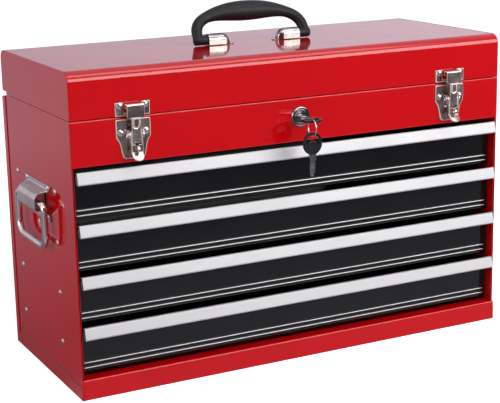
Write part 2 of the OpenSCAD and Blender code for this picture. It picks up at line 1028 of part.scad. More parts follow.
module handle_bracket() {
    hole_r = bail_r + pin_gap;
    flange_low = roof_low + roof_r - bracket_t;
    color(zinc)
        difference() {
            at_side() {
                intersection() {
                    along_y(2 * plate_half)
                        bracket_outline();
                    along_x(60)
                        both_halves()
                            polygon([
                                [0, bracket_up], [plate_half, bracket_up],
                                [plate_half, flange_low + 0.6], [band_half, flange_low - 0.4],
                                [band_half, -6.6], [tongue_half, -11.6],
                                [tongue_half, -bracket_down], [0, -bracket_down]
                            ]);
                }
                for (s = [-1, 1])
                    translate([0, s * cheek_y, 0])
                        along_y(bracket_t)
                            intersection() {
                                area([0.5, -5.6], [bail_out + bail_r + 2, 6.2]);
                                translate([bracket_t, roof_low])
                                    circle(r = roof_r - bracket_t / 2);
                            }
            }
            at_side()
                translate([bail_out, 0, 0])
                    rod_y(hole_r, 2 * band_half);
            at_handle_rivets()
                cylinder(r = rivet_r + rivet_hole, h = 8, center = true);
        }
}

module left_handle_bracket() {
    mirror([1, 0, 0])
        handle_bracket();
}

module right_handle_bracket() {
    handle_bracket();
}

module handle_rivets() {
    color(zinc)
        both_sides()
            at_handle_rivets()
                rivet(rivet_r, 3.3, 1.2, sheet + bracket_t, 0.8);
}

// A quarter bend of the bail's rod in the Y-Z plane, turning from +Y to +Z
module bend(r) {
    rotate([90, 0, 90])
        rotate_extrude(angle = 90)
            translate([r, 0])
                circle(r = bail_r);
}

module bail() {
    half = bail_w / 2;
    top_r = 6;
    pin_in = cheek_y - 3;
    color(zinc)
        at_side()
            translate([bail_out, 0, 0]) {
                translate([0, 0, -bail_h])
                    rod_y(bail_r, 2 * (half - bend_r) + 2 * e);
                for (s = [0, 1])
                    mirror([0, s, 0]) {
                        translate([0, half - bend_r, -bail_h + bend_r])
                            rotate([-90, 0, 0])
                                bend(bend_r);
                        translate([0, half, -bail_h + bend_r - e])
                            cylinder(r = bail_r, h = bail_h - bend_r - top_r + 2 * e);
                        translate([0, half - top_r, -top_r])
                            bend(top_r);
                        translate([0, (half - top_r + pin_in) / 2, 0])
                            rod_y(bail_r, half - top_r - pin_in + e);
                    }
            }
}

module left_bail() {
    mirror([1, 0, 0])
        bail();
}

module right_bail() {
    bail();
}

// ---- lock and keys ----

// The lock's own space: X across, +Y into the case from its front, Z up
module at_lock() {
    translate([0, front_y, lock_z])
        children();
}

module lock_barrel() {
    color(zinc)
        at_lock()
            difference() {
                union() {
                    rotate([90, 0, 0])
                        cylinder(r1 = bezel_r, r2 = bezel_r - 1.4, h = bezel_t);
                    translate([0, barrel_l / 2, 0])
                        rod_y(barrel_r, barrel_l);
                }
                rod_y(plug_r + pin_gap, 3 * barrel_l);
            }
}

module lock_nut() {
    color(zinc)
        at_lock()
            translate([0, sheet + 1.5, 0])
                difference() {
                    rod_y(barrel_r + 3.6, 3);
                    rod_y(barrel_r + rivet_hole, 4);
                }
}

module lock_plug() {
    depth = cam_y - front_y;
    slot_w = blade_w + 0.6;
    color(zinc)
        at_lock()
            difference() {
                translate([0, (depth - bezel_t + 0.3) / 2, 0])
                    rod_y(plug_r, depth + bezel_t - 0.3);
                span([-slot_w / 2, -bezel_t - 1, -1.4], [slot_w / 2, depth - 1.2, 1.4]);
                translate([0, depth, 0])
                    rod_y(1.2, 2.2);
            }
}

module lock_cam() {
    color(zinc)
        translate([0, cam_y + cam_t / 2, lock_z])
            difference() {
                along_y(cam_t) {
                    circle(r = 7);
                    area([-5, 0], [5, cam_l - 5]);
                    translate([0, cam_l - 5])
                        circle(r = 5);
                }
                rod_y(2.1, cam_t + 1);
            }
}

module cam_screw() {
    y = cam_y + cam_t;
    color(zinc)
        translate([0, 0, lock_z])
            difference() {
                union() {
                    translate([0, y + 0.9, 0])
                        rod_y(3.6, 1.8);
                    translate([0, cam_y + cam_t / 2, 0])
                        rod_y(2, cam_t + e);
                    translate([0, cam_y - 0.5, 0])
                        rod_y(1.15, 1 + e);
                }
                span([-4, y + 1.1, -0.45], [4, y + 3, 0.45]);
            }
}

// The lid's strike: a hanging leg with a foot that the turned cam lies over
module lid_strike() {
    y0 = cam_y - 3;
    y1 = cam_y + 5;
    x0 = cam_l + 2.5;
    foot = lock_z - 7.5;
    arm = case_top + 8;
    color(zinc) {
        span([10, y0, foot], [x0 + 1.5, y1, foot + 2]);
        span([x0, y0, foot], [x0 + 1.5, y1, arm]);
        span([10, front_y + sheet, arm - 1.5], [x0 + 12, y1, arm]);
        span([10, front_y + sheet, arm - 1.5], [x0 + 12, front_y + sheet + 1.2, arm + 14]);
    }
}

// A flat oval, centred on the origin in X and Y
module oval(long, wide, thick) {
    points = [for (k = [0:47]) [wide / 2 * cos(k * 7.5), long / 2 * sin(k * 7.5)]];
    linear_extrude(thick, center = true)
        polygon(points);
}

// A key lying in X and Y with its head's centre at the origin: the blade leaves
// towards +Y, and a crescent slot for the ring lies near the -Y end
module key_head() {
    slot_y = slot_r + rim_w - head_l / 2;
    color("black")
        difference() {
            oval(head_l, head_w, head_t);
            difference() {
                translate([0, slot_y, 0])
                    cylinder(r = slot_r, h = head_t + 1, center = true);
                translate([0, slot_y + key_slot, 0])
                    cylinder(r = slot_r, h = head_t + 2, center = true);
            }
            key_blade_body(0.02);
        }
}

// The blade with its cuts along one edge; it starts inside the head
module key_blade_body(gap) {
    y0 = head_l / 2 - 5;
    y1 = head_l / 2 + blade_l;
    w = blade_w / 2 + gap;
    linear_extrude(2.2 + 2 * gap, center = true)
        polygon([
            [-w, y0 - gap], [w, y0 - gap], [w, y1 - 16], [w - 1.6, y1 - 14.4],
            [w - 1, y1 - 12.4], [w - 2.4, y1 - 10.6], [w - 1.2, y1 - 8.4],
            [w - 2, y1 - 6.4], [w - 1.4, y1 - 4.6], [w - 2.2, y1 - 3.2],
            [w - 4.6, y1], [-w + 1.4, y1], [-w, y1 - 2]
        ]);
}

module key_blade() {
    color(zinc)
        difference() {
            key_blade_body(0);
            translate([-1.6, head_l / 2 + blade_l / 2 + 1, 1.1])
                cube([1.4, blade_l, 0.9], center = true);
        }
}

module at_key_1() {
    translate([0, key_y, lock_z])
        children();
}

module at_key_2() {
    translate([ring_x, rim_y, key2_top - head_l / 2])
        rotate([-90, 0, 0])
            children();
}

module key_ring() {
    color(zinc)
        translate([ring_x, rim_y, ring_z])
            rotate([0, 90, 0])
                rotate_extrude()
                    translate([ring_r, 0])
                        circle(r = wire_r, $fn = 24);
}

// ---- the pieces ----

left_side_panel();
right_side_panel();
back_panel();
bottom_pan();
upper_front_panel();
till_floor();
left_rails();
right_rails();
rail_rivets();
for (i = [1:drawer_count]) {
    drawer_tray(i);
    drawer_pull(i);
    drawer_runners(i);
}
lid_skin();
lid_left_end();
lid_right_end();
case_hinge_leaf();
lid_hinge_leaf();
hinge_pin();
keeper(-1);  // left_keeper
keeper(1);  // right_keeper
keeper_rivets();
latch_base(-1);  // left_latch_base
latch_base(1);  // right_latch_base
latch_base_rivets();
lever_pins();
lever(-1);  // left_lever
lever(1);  // right_lever
claw(-1);  // left_claw
claw(1);  // right_claw
claw_pin(-1);  // left_claw_pin
claw_pin(1);  // right_claw_pin
left_carry_bracket();
right_carry_bracket();
carry_grip();
grip_trunnions();
left_handle_bracket();
right_handle_bracket();
handle_rivets();
left_bail();
right_bail();
lock_barrel();
lock_nut();
lock_plug();
lock_cam();
lid_strike();
cam_screw();
at_key_1() key_blade();  // key_1_blade
at_key_1() key_head();  // key_1_head
key_ring();
at_key_2() key_blade();  // key_2_blade
at_key_2() key_head();  // key_2_head
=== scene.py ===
# %% [markdown]
# # A portable tool box with drawers
# The box is bent sheet steel in gloss red enamel: a case with four drawers, a lid over a
# till, two draw latches, a cam lock with its keys, a carry handle and a drop handle at
# each end. The CAD part already says where every piece is. Here each piece gets its real
# surface: bends with a radius, softened cut edges, domed rivets and finishes with grain.

import bmesh
import bpy
import numpy as np
from mathutils import Matrix, Vector


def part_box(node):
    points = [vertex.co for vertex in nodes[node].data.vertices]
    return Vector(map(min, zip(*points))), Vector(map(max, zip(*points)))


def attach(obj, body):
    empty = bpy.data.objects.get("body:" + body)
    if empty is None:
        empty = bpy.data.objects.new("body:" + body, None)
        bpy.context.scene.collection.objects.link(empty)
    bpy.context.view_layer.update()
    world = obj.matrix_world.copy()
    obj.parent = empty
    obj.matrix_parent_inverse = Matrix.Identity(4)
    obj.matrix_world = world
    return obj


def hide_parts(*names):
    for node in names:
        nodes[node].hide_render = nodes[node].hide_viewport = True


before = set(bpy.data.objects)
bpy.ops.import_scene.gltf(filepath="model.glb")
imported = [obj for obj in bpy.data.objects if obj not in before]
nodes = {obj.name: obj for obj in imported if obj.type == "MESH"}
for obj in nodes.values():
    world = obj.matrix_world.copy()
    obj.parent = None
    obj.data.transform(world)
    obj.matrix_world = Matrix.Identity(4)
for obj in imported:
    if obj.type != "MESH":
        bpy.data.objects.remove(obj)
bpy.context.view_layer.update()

# %% [markdown]
# ## Sizes
# The box is drawn in millimetres, as its maker's drawing would be, and each mesh is turned
# into metres once, where it is made. The sizes that several pieces share come first.

# %% Shared sizes, in millimetres
MM = 0.001
SHEET, HALF = 0.9, 0.45  # case and lid
TRAY_T, TRAY_HALF = 0.8, 0.4  # drawers
BODY_W, BODY_D = 520.0, 216.0
FRONT, BACK = -107.1, 107.1  # the case's outer face in front, the side panels' end behind
SIDE, IN_X = 259.1, 258.2  # the side panels' outer and inner faces
WRAP = 10  # how far the back and the pan reach round the sides
PLINTH, PANEL, CASE_TOP, LID_TOP = 22.0, 244.0, 291.0, 340.0
SEAM, LID_R = 0.6, 10.6
FACE_Y = -95.0  # the drawers' faces
LATCH_X, LATCH_T = 192.0, 1.2
LEVER_PIN, CLAW_PIN = (6, -18), (6, -24)  # out from the front, up from the case's top
LOCK_Z, GRIP_Z, BAIL_Z = CASE_TOP - 20, LID_TOP + 6, 194.5
BAIL_OUT = 9.5  # the drop handles' pins, out from the side


def drawer_z(i):
    """The height of a drawer's foot; drawer 1 is the top one."""
    return PLINTH + 4.5 + (4 - i) * 54.0


# %% [markdown]
# ## Mesh tools
# A folded sheet is a line with rounded corners, given a thickness and carried along
# straight. A handle is a ring carried along a bent line, and a rivet is a line turned
# round an axis. All of these are grids of points, so numpy works out every point at once,
# and the same few functions serve the whole box.


# %% From arrays to a Blender mesh
def grid_faces(rows, cols, wrap_rows=False, wrap_cols=False):
    """Four-sided faces over a grid of rows x cols points, joined round where asked."""
    i = np.arange(rows if wrap_rows else rows - 1)[:, None]
    j = np.arange(cols if wrap_cols else cols - 1)[None, :]
    i2, j2 = (i + 1) % rows, (j + 1) % cols
    quads = np.stack([i * cols + j, i2 * cols + j, i2 * cols + j2, i * cols + j2], -1)
    return quads.reshape(-1, 4)


def volume(verts, faces):
    """Signed volume: the sum over faces of a corner's distance times its fan's area."""
    total = 0.0
    for face in faces:
        f = verts[np.asarray(face)]
        total += np.einsum("ij,ij->i", np.cross(f[1:-1] - f[0], f[2:] - f[0]),
                           np.repeat(f[:1], len(f) - 2, 0)).sum()
    return total


def closed(verts, faces):
    """The shell with its faces turned outwards, by the sign of its volume."""
    verts = np.asarray(verts, float)
    faces = [list(map(int, f)) for f in faces]
    if volume(verts, faces) < 0:
        faces = [f[::-1] for f in faces]
    return verts, faces


def join(shells):
    """Several closed shells as one list of points and one of faces."""
    points, faces, start = [], [], 0
    for verts, quads in shells:
        points.append(verts)
        faces += [[i + start for i in f] for f in quads]
        start += len(verts)
    return np.concatenate(points), faces


def moved(shell, by):
    """The same shell, moved."""
    return shell[0] + np.asarray(by, float), shell[1]


def mirrored(shell):
    """The same shell on the other side of x = 0."""
    return closed(shell[0] * np.array([-1.0, 1.0, 1.0]), shell[1])


# %% From a mesh to a piece of the box
def in_scene(name, data):
    """A new object that shows a mesh, a lamp or a camera."""
    obj = bpy.data.objects.new(name, data)
    bpy.context.scene.collection.objects.link(obj)
    return obj


def piece(name, shell, body, stands_for, material, edge=0.0, steps=2, painted_highlight=None):
    """Makes one piece of the box: its mesh, its material, the body that it rides on and
    the CAD nodes that it stands for. Its edges are softened by edge, in so many steps, and
    get a paler finish, a painted highlight, where that is given."""
    verts, faces = shell
    mesh = bpy.data.meshes.new(name)
    mesh.from_pydata((np.asarray(verts) * MM).tolist(), [], faces)
    mesh.polygons.foreach_set("use_smooth", np.full(len(mesh.polygons), True))
    mesh.update()
    return dress(in_scene(name, mesh), body, stands_for, material, edge, steps, painted_highlight)


def dress(obj, body, stands_for, material, edge, steps, painted_highlight):
    """Material, softened edges and the frame's record of what the piece is. A Bevel
    modifier softens each edge that turns by more than 32 degrees. Material 1, where there
    is one, is on its faces and on those of the bevels that the piece already has: a paler
    finish that paints a highlight along the edges."""
    obj.data.materials.clear()
    obj.data.materials.append(material)
    # Material 1 is a paler, duller finish on the bevels: a painted highlight along the edges.
    if painted_highlight:
        obj.data.materials.append(painted_highlight)
        for modifier in obj.modifiers:
            modifier.material = 1
    if edge:
        bevel = obj.modifiers.new("soft_edges", "BEVEL")
        bevel.width = edge * MM
        bevel.segments = steps
        bevel.limit_method = "ANGLE"
        bevel.angle_limit = np.radians(32)
        bevel.use_clamp_overlap = False
        bevel.material = 1 if painted_highlight else -1
        flats = obj.modifiers.new("true_flats", "WEIGHTED_NORMAL")
        flats.keep_sharp = False
    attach(obj, body)
    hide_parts(*stands_for)
    return obj


# %% Folded sheets
def rounded(corners, radii, steps):
    """A line through corners whose inner ones are arcs: the arc's centre lies on the
    bisector, and it meets each side at radius times the tangent of half the turn."""
    corners = np.asarray(corners, float)
    line = [corners[0]]
    for before, at, after, r in zip(corners, corners[1:], corners[2:], radii):
        a, b = before - at, after - at
        a, b = a / np.linalg.norm(a), b / np.linalg.norm(b)
        half = np.arccos(np.clip(a @ b, -1, 1)) / 2
        if r <= 0:
            line.append(at)
            continue
        mid = (a + b) / np.linalg.norm(a + b)
        centre = at + mid * r / np.sin(half)
        turn = np.pi / 2 - half
        t = np.linspace(-turn, turn, steps + 1)[:, None]
        side = np.array([-mid[1], mid[0]]) * np.sign(a @ np.array([-mid[1], mid[0]]))
        line.extend(centre - mid * r * np.cos(t) - side * r * np.sin(t))
    line.append(corners[-1])
    return np.array(line)


def thick(line, t=SHEET):
    """A closed outline round a line: the line moved to both sides by half of t. At a
    corner it moves further, so that the sheet is as thick there as on its flats."""
    step = np.diff(line, axis=0)
    unit = step / np.linalg.norm(step, axis=1)[:, None]
    d = np.concatenate([unit[:1], unit[:-1] + unit[1:], unit[-1:]])
    d /= np.linalg.norm(d, axis=1)[:, None]
    before = np.concatenate([unit[:1], unit])
    stretch = 1 / np.maximum(np.abs((d * before).sum(1)), 0.5)
    n = np.stack([-d[:, 1], d[:, 0]], 1) * (stretch * t / 2)[:, None]
    return np.concatenate([line + n, (line - n)[::-1]])


AXES = {"x": (2, 0, 1), "y": (0, 2, 1), "z": (0, 1, 2)}


def prism(outline, axis, low, high):
    """An outline carried straight from low to high along an axis, with both ends closed.
    Along x the outline's two numbers are y and z, along y they are x and z."""
    outline = np.asarray(outline, float)
    n = len(outline)
    ends = [np.column_stack([outline, np.full(n, s)]) for s in (low, high)]
    verts = np.concatenate(ends)[:, AXES[axis]]
    faces = list(grid_faces(2, n, wrap_cols=True))
    faces += [list(range(n)), list(range(n, 2 * n))]
    return closed(verts, faces)


def lofted(outlines, axis, places):
    """Outlines of equally many points, one at each place along an axis, joined up."""
    n = len(outlines[0])
    verts = np.concatenate([np.column_stack([o, np.full(n, p)])
                            for o, p in zip(outlines, places)])[:, AXES[axis]]
    last = (len(places) - 1) * n
    faces = list(grid_faces(len(places), n, wrap_cols=True))
    faces += [list(range(n)), list(range(last, last + n))]
    return closed(verts, faces)


def run_along(line):
    """How far along a line each of its points is."""
    return np.concatenate([[0], np.cumsum(np.linalg.norm(np.diff(line, axis=0), axis=1))])


def directions(line):
    """The unit direction of a line at each of its points."""
    d = np.gradient(line, axis=0)
    return d / np.linalg.norm(d, axis=1)[:, None]


def eased(u):
    """From 0 to 1 as u does, but level at both ends."""
    return u**2 * (3 - 2 * u)


def spaced(line, step):
    """The same line with points a step apart along its length."""
    length = run_along(line)
    s = np.linspace(0, length[-1], int(length[-1] / step) + 1)
    return np.column_stack([np.interp(s, length, line[:, 0]), np.interp(s, length, line[:, 1])])


def strip(line, half_width, t, relief, across=25):
    """A pressed strap along a line of (y, z) points. At each point it reaches half_width
    to both sides, and relief(x, z) lifts both its faces outwards, so that it stays t thick."""
    d = directions(line)
    out = np.stack([-d[:, 1], d[:, 0]], 1)
    x = half_width[:, None] * np.linspace(-1, 1, across)
    lift = relief(x, line[:, 1:])[..., None] * out[:, None, :]
    faces_at = [line[:, None, :] + lift + side * t / 2 * out[:, None, :] for side in (1, -1)]
    front, back = [np.concatenate([x[..., None], yz], -1) for yz in faces_at]
    ring = np.concatenate([front, back[:, ::-1]], 1)
    n, m = ring.shape[:2]
    faces = list(grid_faces(n, m, wrap_cols=True))
    faces += [list(range(m)), list(range((n - 1) * m, n * m))]
    return closed(ring.reshape(-1, 3), faces)


def pierced(front, back, keep):
    """A closed plate between two grids of points. Only the cells marked in keep are made,
    and a wall closes each edge between a kept cell and a missing one."""
    rows, cols = front.shape[:2]
    at = np.arange(rows * cols).reshape(rows, cols)
    i, j = np.nonzero(keep)
    quads = np.stack([at[i, j], at[i + 1, j], at[i + 1, j + 1], at[i, j + 1]], -1)
    padded = np.pad(keep, 1).astype(int)
    walls = []
    for change, a, b in ((padded[1:, 1:-1] - padded[:-1, 1:-1], at[:, :-1], at[:, 1:]),
                         (padded[1:-1, :-1] - padded[1:-1, 1:], at[:-1], at[1:])):
        for sign, p, q in ((1, a, b), (-1, b, a)):
            hit = change == sign
            walls.append(np.stack([p[hit], q[hit], q[hit] + at.size, p[hit] + at.size], -1))
    faces = np.concatenate([quads, quads[:, ::-1] + at.size, *walls])
    used, faces = np.unique(faces, return_inverse=True)
    verts = np.concatenate([front.reshape(-1, 3), back.reshape(-1, 3)])[used]
    return closed(verts, faces.reshape(-1, 4))


def slab(low, high):
    """A flat plate between two opposite corners."""
    outline = [(low[0], low[1]), (high[0], low[1]), (high[0], high[1]), (low[0], high[1])]
    return prism(outline, "z", low[2], high[2])


# %% Turned and swept shapes
def spun(profile, around):
    """The points of a profile of (radius, height) at even turns about +Z."""
    a = np.linspace(0, 2 * np.pi, around, endpoint=False)
    return np.stack([profile[:, :1] * np.cos(a), profile[:, :1] * np.sin(a),
                     np.repeat(profile[:, 1:], around, 1)], -1).reshape(-1, 3)


def turned(profile, around):
    """A profile of (radius, height) turned about +Z; it starts and ends on the axis."""
    profile = np.asarray(profile, float)
    inner = profile[1:-1]
    verts = np.concatenate([spun(inner, around),
                            [[0, 0, profile[0, 1]], [0, 0, profile[-1, 1]]]])
    faces = list(grid_faces(len(inner), around, wrap_cols=True))
    k = np.arange(around)
    last = (len(inner) - 1) * around
    start, end = len(verts) - 2, len(verts) - 1
    faces += [[start, i, (i + 1) % around] for i in k]
    faces += [[end, last + (i + 1) % around, last + i] for i in k]
    return closed(verts, faces)


def ring_turned(profile, around=96):
    """A closed profile of (radius, height), clear of the axis, turned about +Z."""
    profile = np.asarray(profile, float)
    return closed(spun(profile, around), grid_faces(len(profile), around, True, True))


def placed(shell, at, axis):
    """A shell made about +Z, laid with +Z along axis and moved to a place."""
    verts, faces = shell
    w = np.asarray(axis, float) / np.linalg.norm(axis)
    u = np.cross([0, 0, 1.0], w) if abs(w[2]) < 0.9 else np.array([1.0, 0, 0])
    u /= np.linalg.norm(u)
    v = np.cross(w, u)
    return closed(verts @ np.stack([u, v, w]) + np.asarray(at, float), faces)


def swept(path, radius, side, around=32, flat=1.0):
    """A ring carried along a path of points. Its radius may change from point to point;
    side is a direction square to the whole path, and flat scales the ring along it."""
    path = np.asarray(path, float)
    n = len(path)
    radius = np.broadcast_to(np.asarray(radius, float), n)
    side = np.asarray(side, float)
    out = np.cross(directions(path), side)
    out /= np.linalg.norm(out, axis=1)[:, None]
    a = np.linspace(0, 2 * np.pi, around, endpoint=False)
    ring = (np.cos(a)[None, :, None] * out[:, None, :]
            + flat * np.sin(a)[None, :, None] * side[None, None, :])
    verts = (path[:, None, :] + radius[:, None, None] * ring).reshape(-1, 3)
    faces = list(grid_faces(n, around, wrap_cols=True))
    faces += [list(range(around)), list(range((n - 1) * around, n * around))]
    return closed(verts, faces)


# %% [markdown]
# ## A stamped piece
# The keepers, latch bases, hinge leaves and other stampings have holes and cut-outs that
# the CAD part has right. For these the solid itself is copied, its loose triangles are
# merged back into flat faces, and a Bevel modifier breaks every sheared edge, as tumbling
# does to real stampings.


# %% A CAD node with softened edges
def from_node(name, body, node, material, edge, steps=2, rim=0.0, rim_y=0.0, painted_highlight=None):
    """A copy of a node's mesh, merged into whole faces, that stands for the node. The
    outline of the face at rim_y is rounded more, by rim, as a stamped plate's front is."""
    mesh = nodes[node].data.copy()
    mesh.name = name
    work = bmesh.new()
    work.from_mesh(mesh)
    bmesh.ops.remove_doubles(work, verts=work.verts, dist=2e-6)
    bmesh.ops.dissolve_limit(work, angle_limit=np.radians(0.6), verts=work.verts,
                             edges=work.edges, use_dissolve_boundaries=False)
    for face in work.faces:
        face.smooth = True
    if rim:
        weight = work.edges.layers.float.new("bevel_weight_edge")
        for e in work.edges:
            on_face = all(abs(v.co.y / MM - rim_y) < 0.02 for v in e.verts)
            if on_face and e.is_manifold and e.calc_face_angle_signed() > 1.0:
                e[weight] = 1.0
    work.to_mesh(mesh)
    work.free()
    obj = in_scene(name, mesh)
    if rim:
        bevel = obj.modifiers.new("rolled_rim", "BEVEL")
        bevel.width = rim * MM
        bevel.segments = 5
        bevel.limit_method = "WEIGHT"
        bevel.use_clamp_overlap = False
    return dress(obj, body, [node], material, edge, steps, painted_highlight)


# %% [markdown]
# ## Shared effects
# Three effects come back in several finishes, so each is built once as a shader node
# group: the faint orange peel of sprayed enamel, the long grain of rolled or brushed
# metal, and the soft smudges that hands and dust leave on anything handled.


# %% Group builders
def new_group(name, inputs, outputs):
    """An empty shader group with float inputs given as name: default, and float outputs."""
    group = bpy.data.node_groups.new(name, "ShaderNodeTree")
    group.interface.new_socket("Vector", in_out="INPUT", socket_type="NodeSocketVector")
    for label, default in inputs.items():
        s = group.interface.new_socket(label, in_out="INPUT", socket_type="NodeSocketFloat")
        s.default_value = default
    for label in outputs:
        group.interface.new_socket(label, in_out="OUTPUT", socket_type="NodeSocketFloat")
    return group, group.nodes.new("NodeGroupInput"), group.nodes.new("NodeGroupOutput")


def add(tree, kind, **values):
    """A node with its plain properties and its inputs set by name."""
    n = tree.nodes.new(kind)
    for key, value in values.items():
        label = key.replace("_", " ")
        if label in n.inputs:
            n.inputs[label].default_value = value
        else:
            setattr(n, key, value)
    return n


def link(tree, a, out, b, into):
    """Joins a's output to b's input, both by name or number."""
    tree.links.new(a.outputs[out], b.inputs[into])


def noise(tree, source, scale, detail, roughness):
    """A noise texture that reads the source's vector."""
    n = add(tree, "ShaderNodeTexNoise", Scale=scale, Detail=detail, Roughness=roughness)
    link(tree, source, "Vector", n, "Vector")
    return n


def remap(tree, source, out, low, high, to_low, to_high):
    """A Map Range node from low..high to to_low..to_high."""
    n = tree.nodes.new("ShaderNodeMapRange")
    for label, value in (("From Min", low), ("From Max", high),
                         ("To Min", to_low), ("To Max", to_high)):
        n.inputs[label].default_value = value
    link(tree, source, out, n, "Value")
    return n


def calc(tree, operation, a, b):
    """A Math node; each of a and b is a number or a (node, output) pair."""
    n = tree.nodes.new("ShaderNodeMath")
    n.operation = operation
    for i, value in enumerate((a, b)):
        if isinstance(value, tuple):
            tree.links.new(value[0].outputs[value[1]], n.inputs[i])
        else:
            n.inputs[i].default_value = value
    return n


# %% Orange peel
BROAD, BROAD_DEPTH = 9.0, 40.0  # waves a metre, and their depth against the fine grain's
peel, g_in, g_out = new_group("orange_peel", {"Scale": 420.0, "Wave": 0.35}, ["Height"])
fine = noise(peel, g_in, 1.0, 2.0, 0.5)
link(peel, g_in, "Scale", fine, "Scale")
broad = noise(peel, g_in, BROAD, 2.0, 0.5)
wave = calc(peel, "MULTIPLY", (broad, 0), (g_in, "Wave"))
wave = calc(peel, "MULTIPLY", (wave, 0), BROAD_DEPTH)
both = calc(peel, "ADD", (fine, 0), (wave, 0))
link(peel, both, 0, g_out, "Height")

# %% Long grain
GRAIN = 2600.0  # lines a metre
grain, g_in, g_out = new_group("long_grain", {"Fine": 1.0}, ["Height"])
stretch = add(grain, "ShaderNodeMapping", Scale=(0.012, 1.0, 1.0))
link(grain, g_in, "Vector", stretch, "Vector")
scale = calc(grain, "MULTIPLY", (g_in, "Fine"), GRAIN)
lines = noise(grain, stretch, GRAIN, 4.0, 0.6)
link(grain, scale, 0, lines, "Scale")
link(grain, lines, 0, g_out, "Height")

# %% Smudges
smudge, g_in, g_out = new_group("smudges", {"Size": 14.0, "Low": 0.2, "High": 0.3},
                                ["Roughness", "Mask"])
cloud = noise(smudge, g_in, 14.0, 4.0, 0.6)
link(smudge, g_in, "Size", cloud, "Scale")
spread = remap(smudge, cloud, 0, 0.35, 0.7, 0.0, 1.0)
rough = smudge.nodes.new("ShaderNodeMapRange")
link(smudge, spread, 0, rough, "Value")
link(smudge, g_in, "Low", rough, "To Min")
link(smudge, g_in, "High", rough, "To Max")
link(smudge, rough, 0, g_out, "Roughness")
link(smudge, spread, 0, g_out, "Mask")


# %% [markdown]
# ## Finishes
# Each finish is one Principled shader. Even values sit on its own sockets, and only what
# changes over the surface is linked: colour, roughness and the normal.


# %% A finish with its parts
def put_group(tree, group, source, **values):
    """A group node fed with Object coordinates and its own values."""
    n = tree.nodes.new("ShaderNodeGroup")
    n.node_tree = group
    link(tree, source, "Object", n, "Vector")
    for key, value in values.items():
        n.inputs[key].default_value = value
    return n


def finish(name, dark, light, rough, smudge_size, bump=None, **even):
    """A Principled material: colour between dark and light by the smudge mask, roughness
    between two values, and a bump from one of the shared groups, given as the group, its
    strength, its depth in metres and its own values."""
    mat = bpy.data.materials.new(name)
    mat.use_nodes = True
    tree = mat.node_tree
    shader = tree.nodes["Principled BSDF"]
    for key, value in even.items():
        shader.inputs[key.replace("_", " ")].default_value = value
    where = tree.nodes.new("ShaderNodeTexCoord")
    marks = put_group(tree, smudge, where, Size=smudge_size, Low=rough[0], High=rough[1])
    link(tree, marks, "Roughness", shader, "Roughness")
    mix = tree.nodes.new("ShaderNodeMix")
    mix.data_type = "RGBA"
    mix.inputs["A"].default_value = (*dark, 1)
    mix.inputs["B"].default_value = (*light, 1)
    link(tree, marks, "Mask", mix, "Factor")
    tree.links.new(mix.outputs["Result"], shader.inputs["Base Color"])
    if bump:
        group, strength, distance, values = bump
        relief = put_group(tree, group, where, **values)
        node = add(tree, "ShaderNodeBump", Strength=strength, Distance=distance)
        link(tree, relief, "Height", node, "Height")
        link(tree, node, "Normal", shader, "Normal")
    return mat


# %% Every finish of the box
red = finish("red_enamel", (0.500, 0.0010, 0.0030), (0.535, 0.0014, 0.0038), (0.04, 0.075), 9.0,
             (peel, 0.05, 0.0005, {"Scale": 520.0, "Wave": 0.5}), IOR=1.5)
black = finish("black_enamel", (0.0040, 0.0040, 0.0043), (0.0066, 0.0065, 0.0068),
               (0.05, 0.09), 12.0,
               (peel, 0.07, 0.0004, {"Scale": 900.0, "Wave": 0.15}), IOR=1.5)
trim = finish("anodised_trim", (0.530, 0.520, 0.530), (0.565, 0.555, 0.565), (0.50, 0.60), 10.0,
              (grain, 0.12, 0.0002, {"Fine": 0.5}), Metallic=0.45)
nickel = finish("satin_nickel", (0.44, 0.355, 0.315), (0.60, 0.51, 0.46), (0.14, 0.30), 60.0,
                (peel, 0.20, 0.0003, {"Scale": 500.0, "Wave": 0.4}), Metallic=1.0)
# Paler, duller and less metal than satin nickel, for the latches' edge bevels: a painted highlight
# along the rims, partly standing for wear.
rim_highlight_nickel = finish("rim_highlight_nickel", (0.68, 0.565, 0.51), (0.78, 0.67, 0.61), (0.42, 0.55), 60.0,
                     Metallic=0.35)
bright = finish("bright_nickel", (0.70, 0.655, 0.62), (0.80, 0.76, 0.73), (0.07, 0.15), 30.0,
                (peel, 0.06, 0.0003, {"Scale": 600.0, "Wave": 0.2}), Metallic=1.0)
pressed = finish("pressed_nickel", (0.26, 0.23, 0.21), (0.54, 0.50, 0.465), (0.10, 0.26), 90.0,
                 (peel, 0.35, 0.0003, {"Scale": 350.0, "Wave": 0.8}), Metallic=1.0)
zinc = finish("zinc_plate", (0.56, 0.475, 0.45), (0.70, 0.61, 0.58), (0.24, 0.38), 45.0,
              (grain, 0.12, 0.0002, {"Fine": 0.7}), Metallic=1.0)
chrome = finish("polished_chrome", (0.70, 0.69, 0.69), (0.80, 0.79, 0.79), (0.04, 0.10), 60.0,
                (peel, 0.04, 0.0002, {"Scale": 500.0, "Wave": 0.1}), Metallic=1.0)
smoked = finish("smoked_chrome", (0.26, 0.235, 0.235), (0.40, 0.37, 0.37), (0.04, 0.10), 60.0,
                (peel, 0.04, 0.0002, {"Scale": 500.0, "Wave": 0.1}), Metallic=1.0)
steel = finish("key_steel", (0.30, 0.29, 0.29), (0.42, 0.41, 0.40), (0.16, 0.30), 60.0,
               (grain, 0.20, 0.0002, {"Fine": 0.8}), Metallic=1.0)
plastic = finish("grip_plastic", (0.0088, 0.0079, 0.0092), (0.0135, 0.0120, 0.0140),
                 (0.40, 0.50), 25.0, (peel, 0.30, 0.0004, {"Scale": 1500.0, "Wave": 0.05}),
                 IOR=1.45, Specular_IOR_Level=0.28)
key_black = finish("key_plastic", (0.005, 0.005, 0.0055), (0.009, 0.009, 0.010), (0.22, 0.34), 40.0,
                   (peel, 0.25, 0.0003, {"Scale": 1800.0, "Wave": 0.05}), IOR=1.47)
print("finishes:", len(bpy.data.materials))
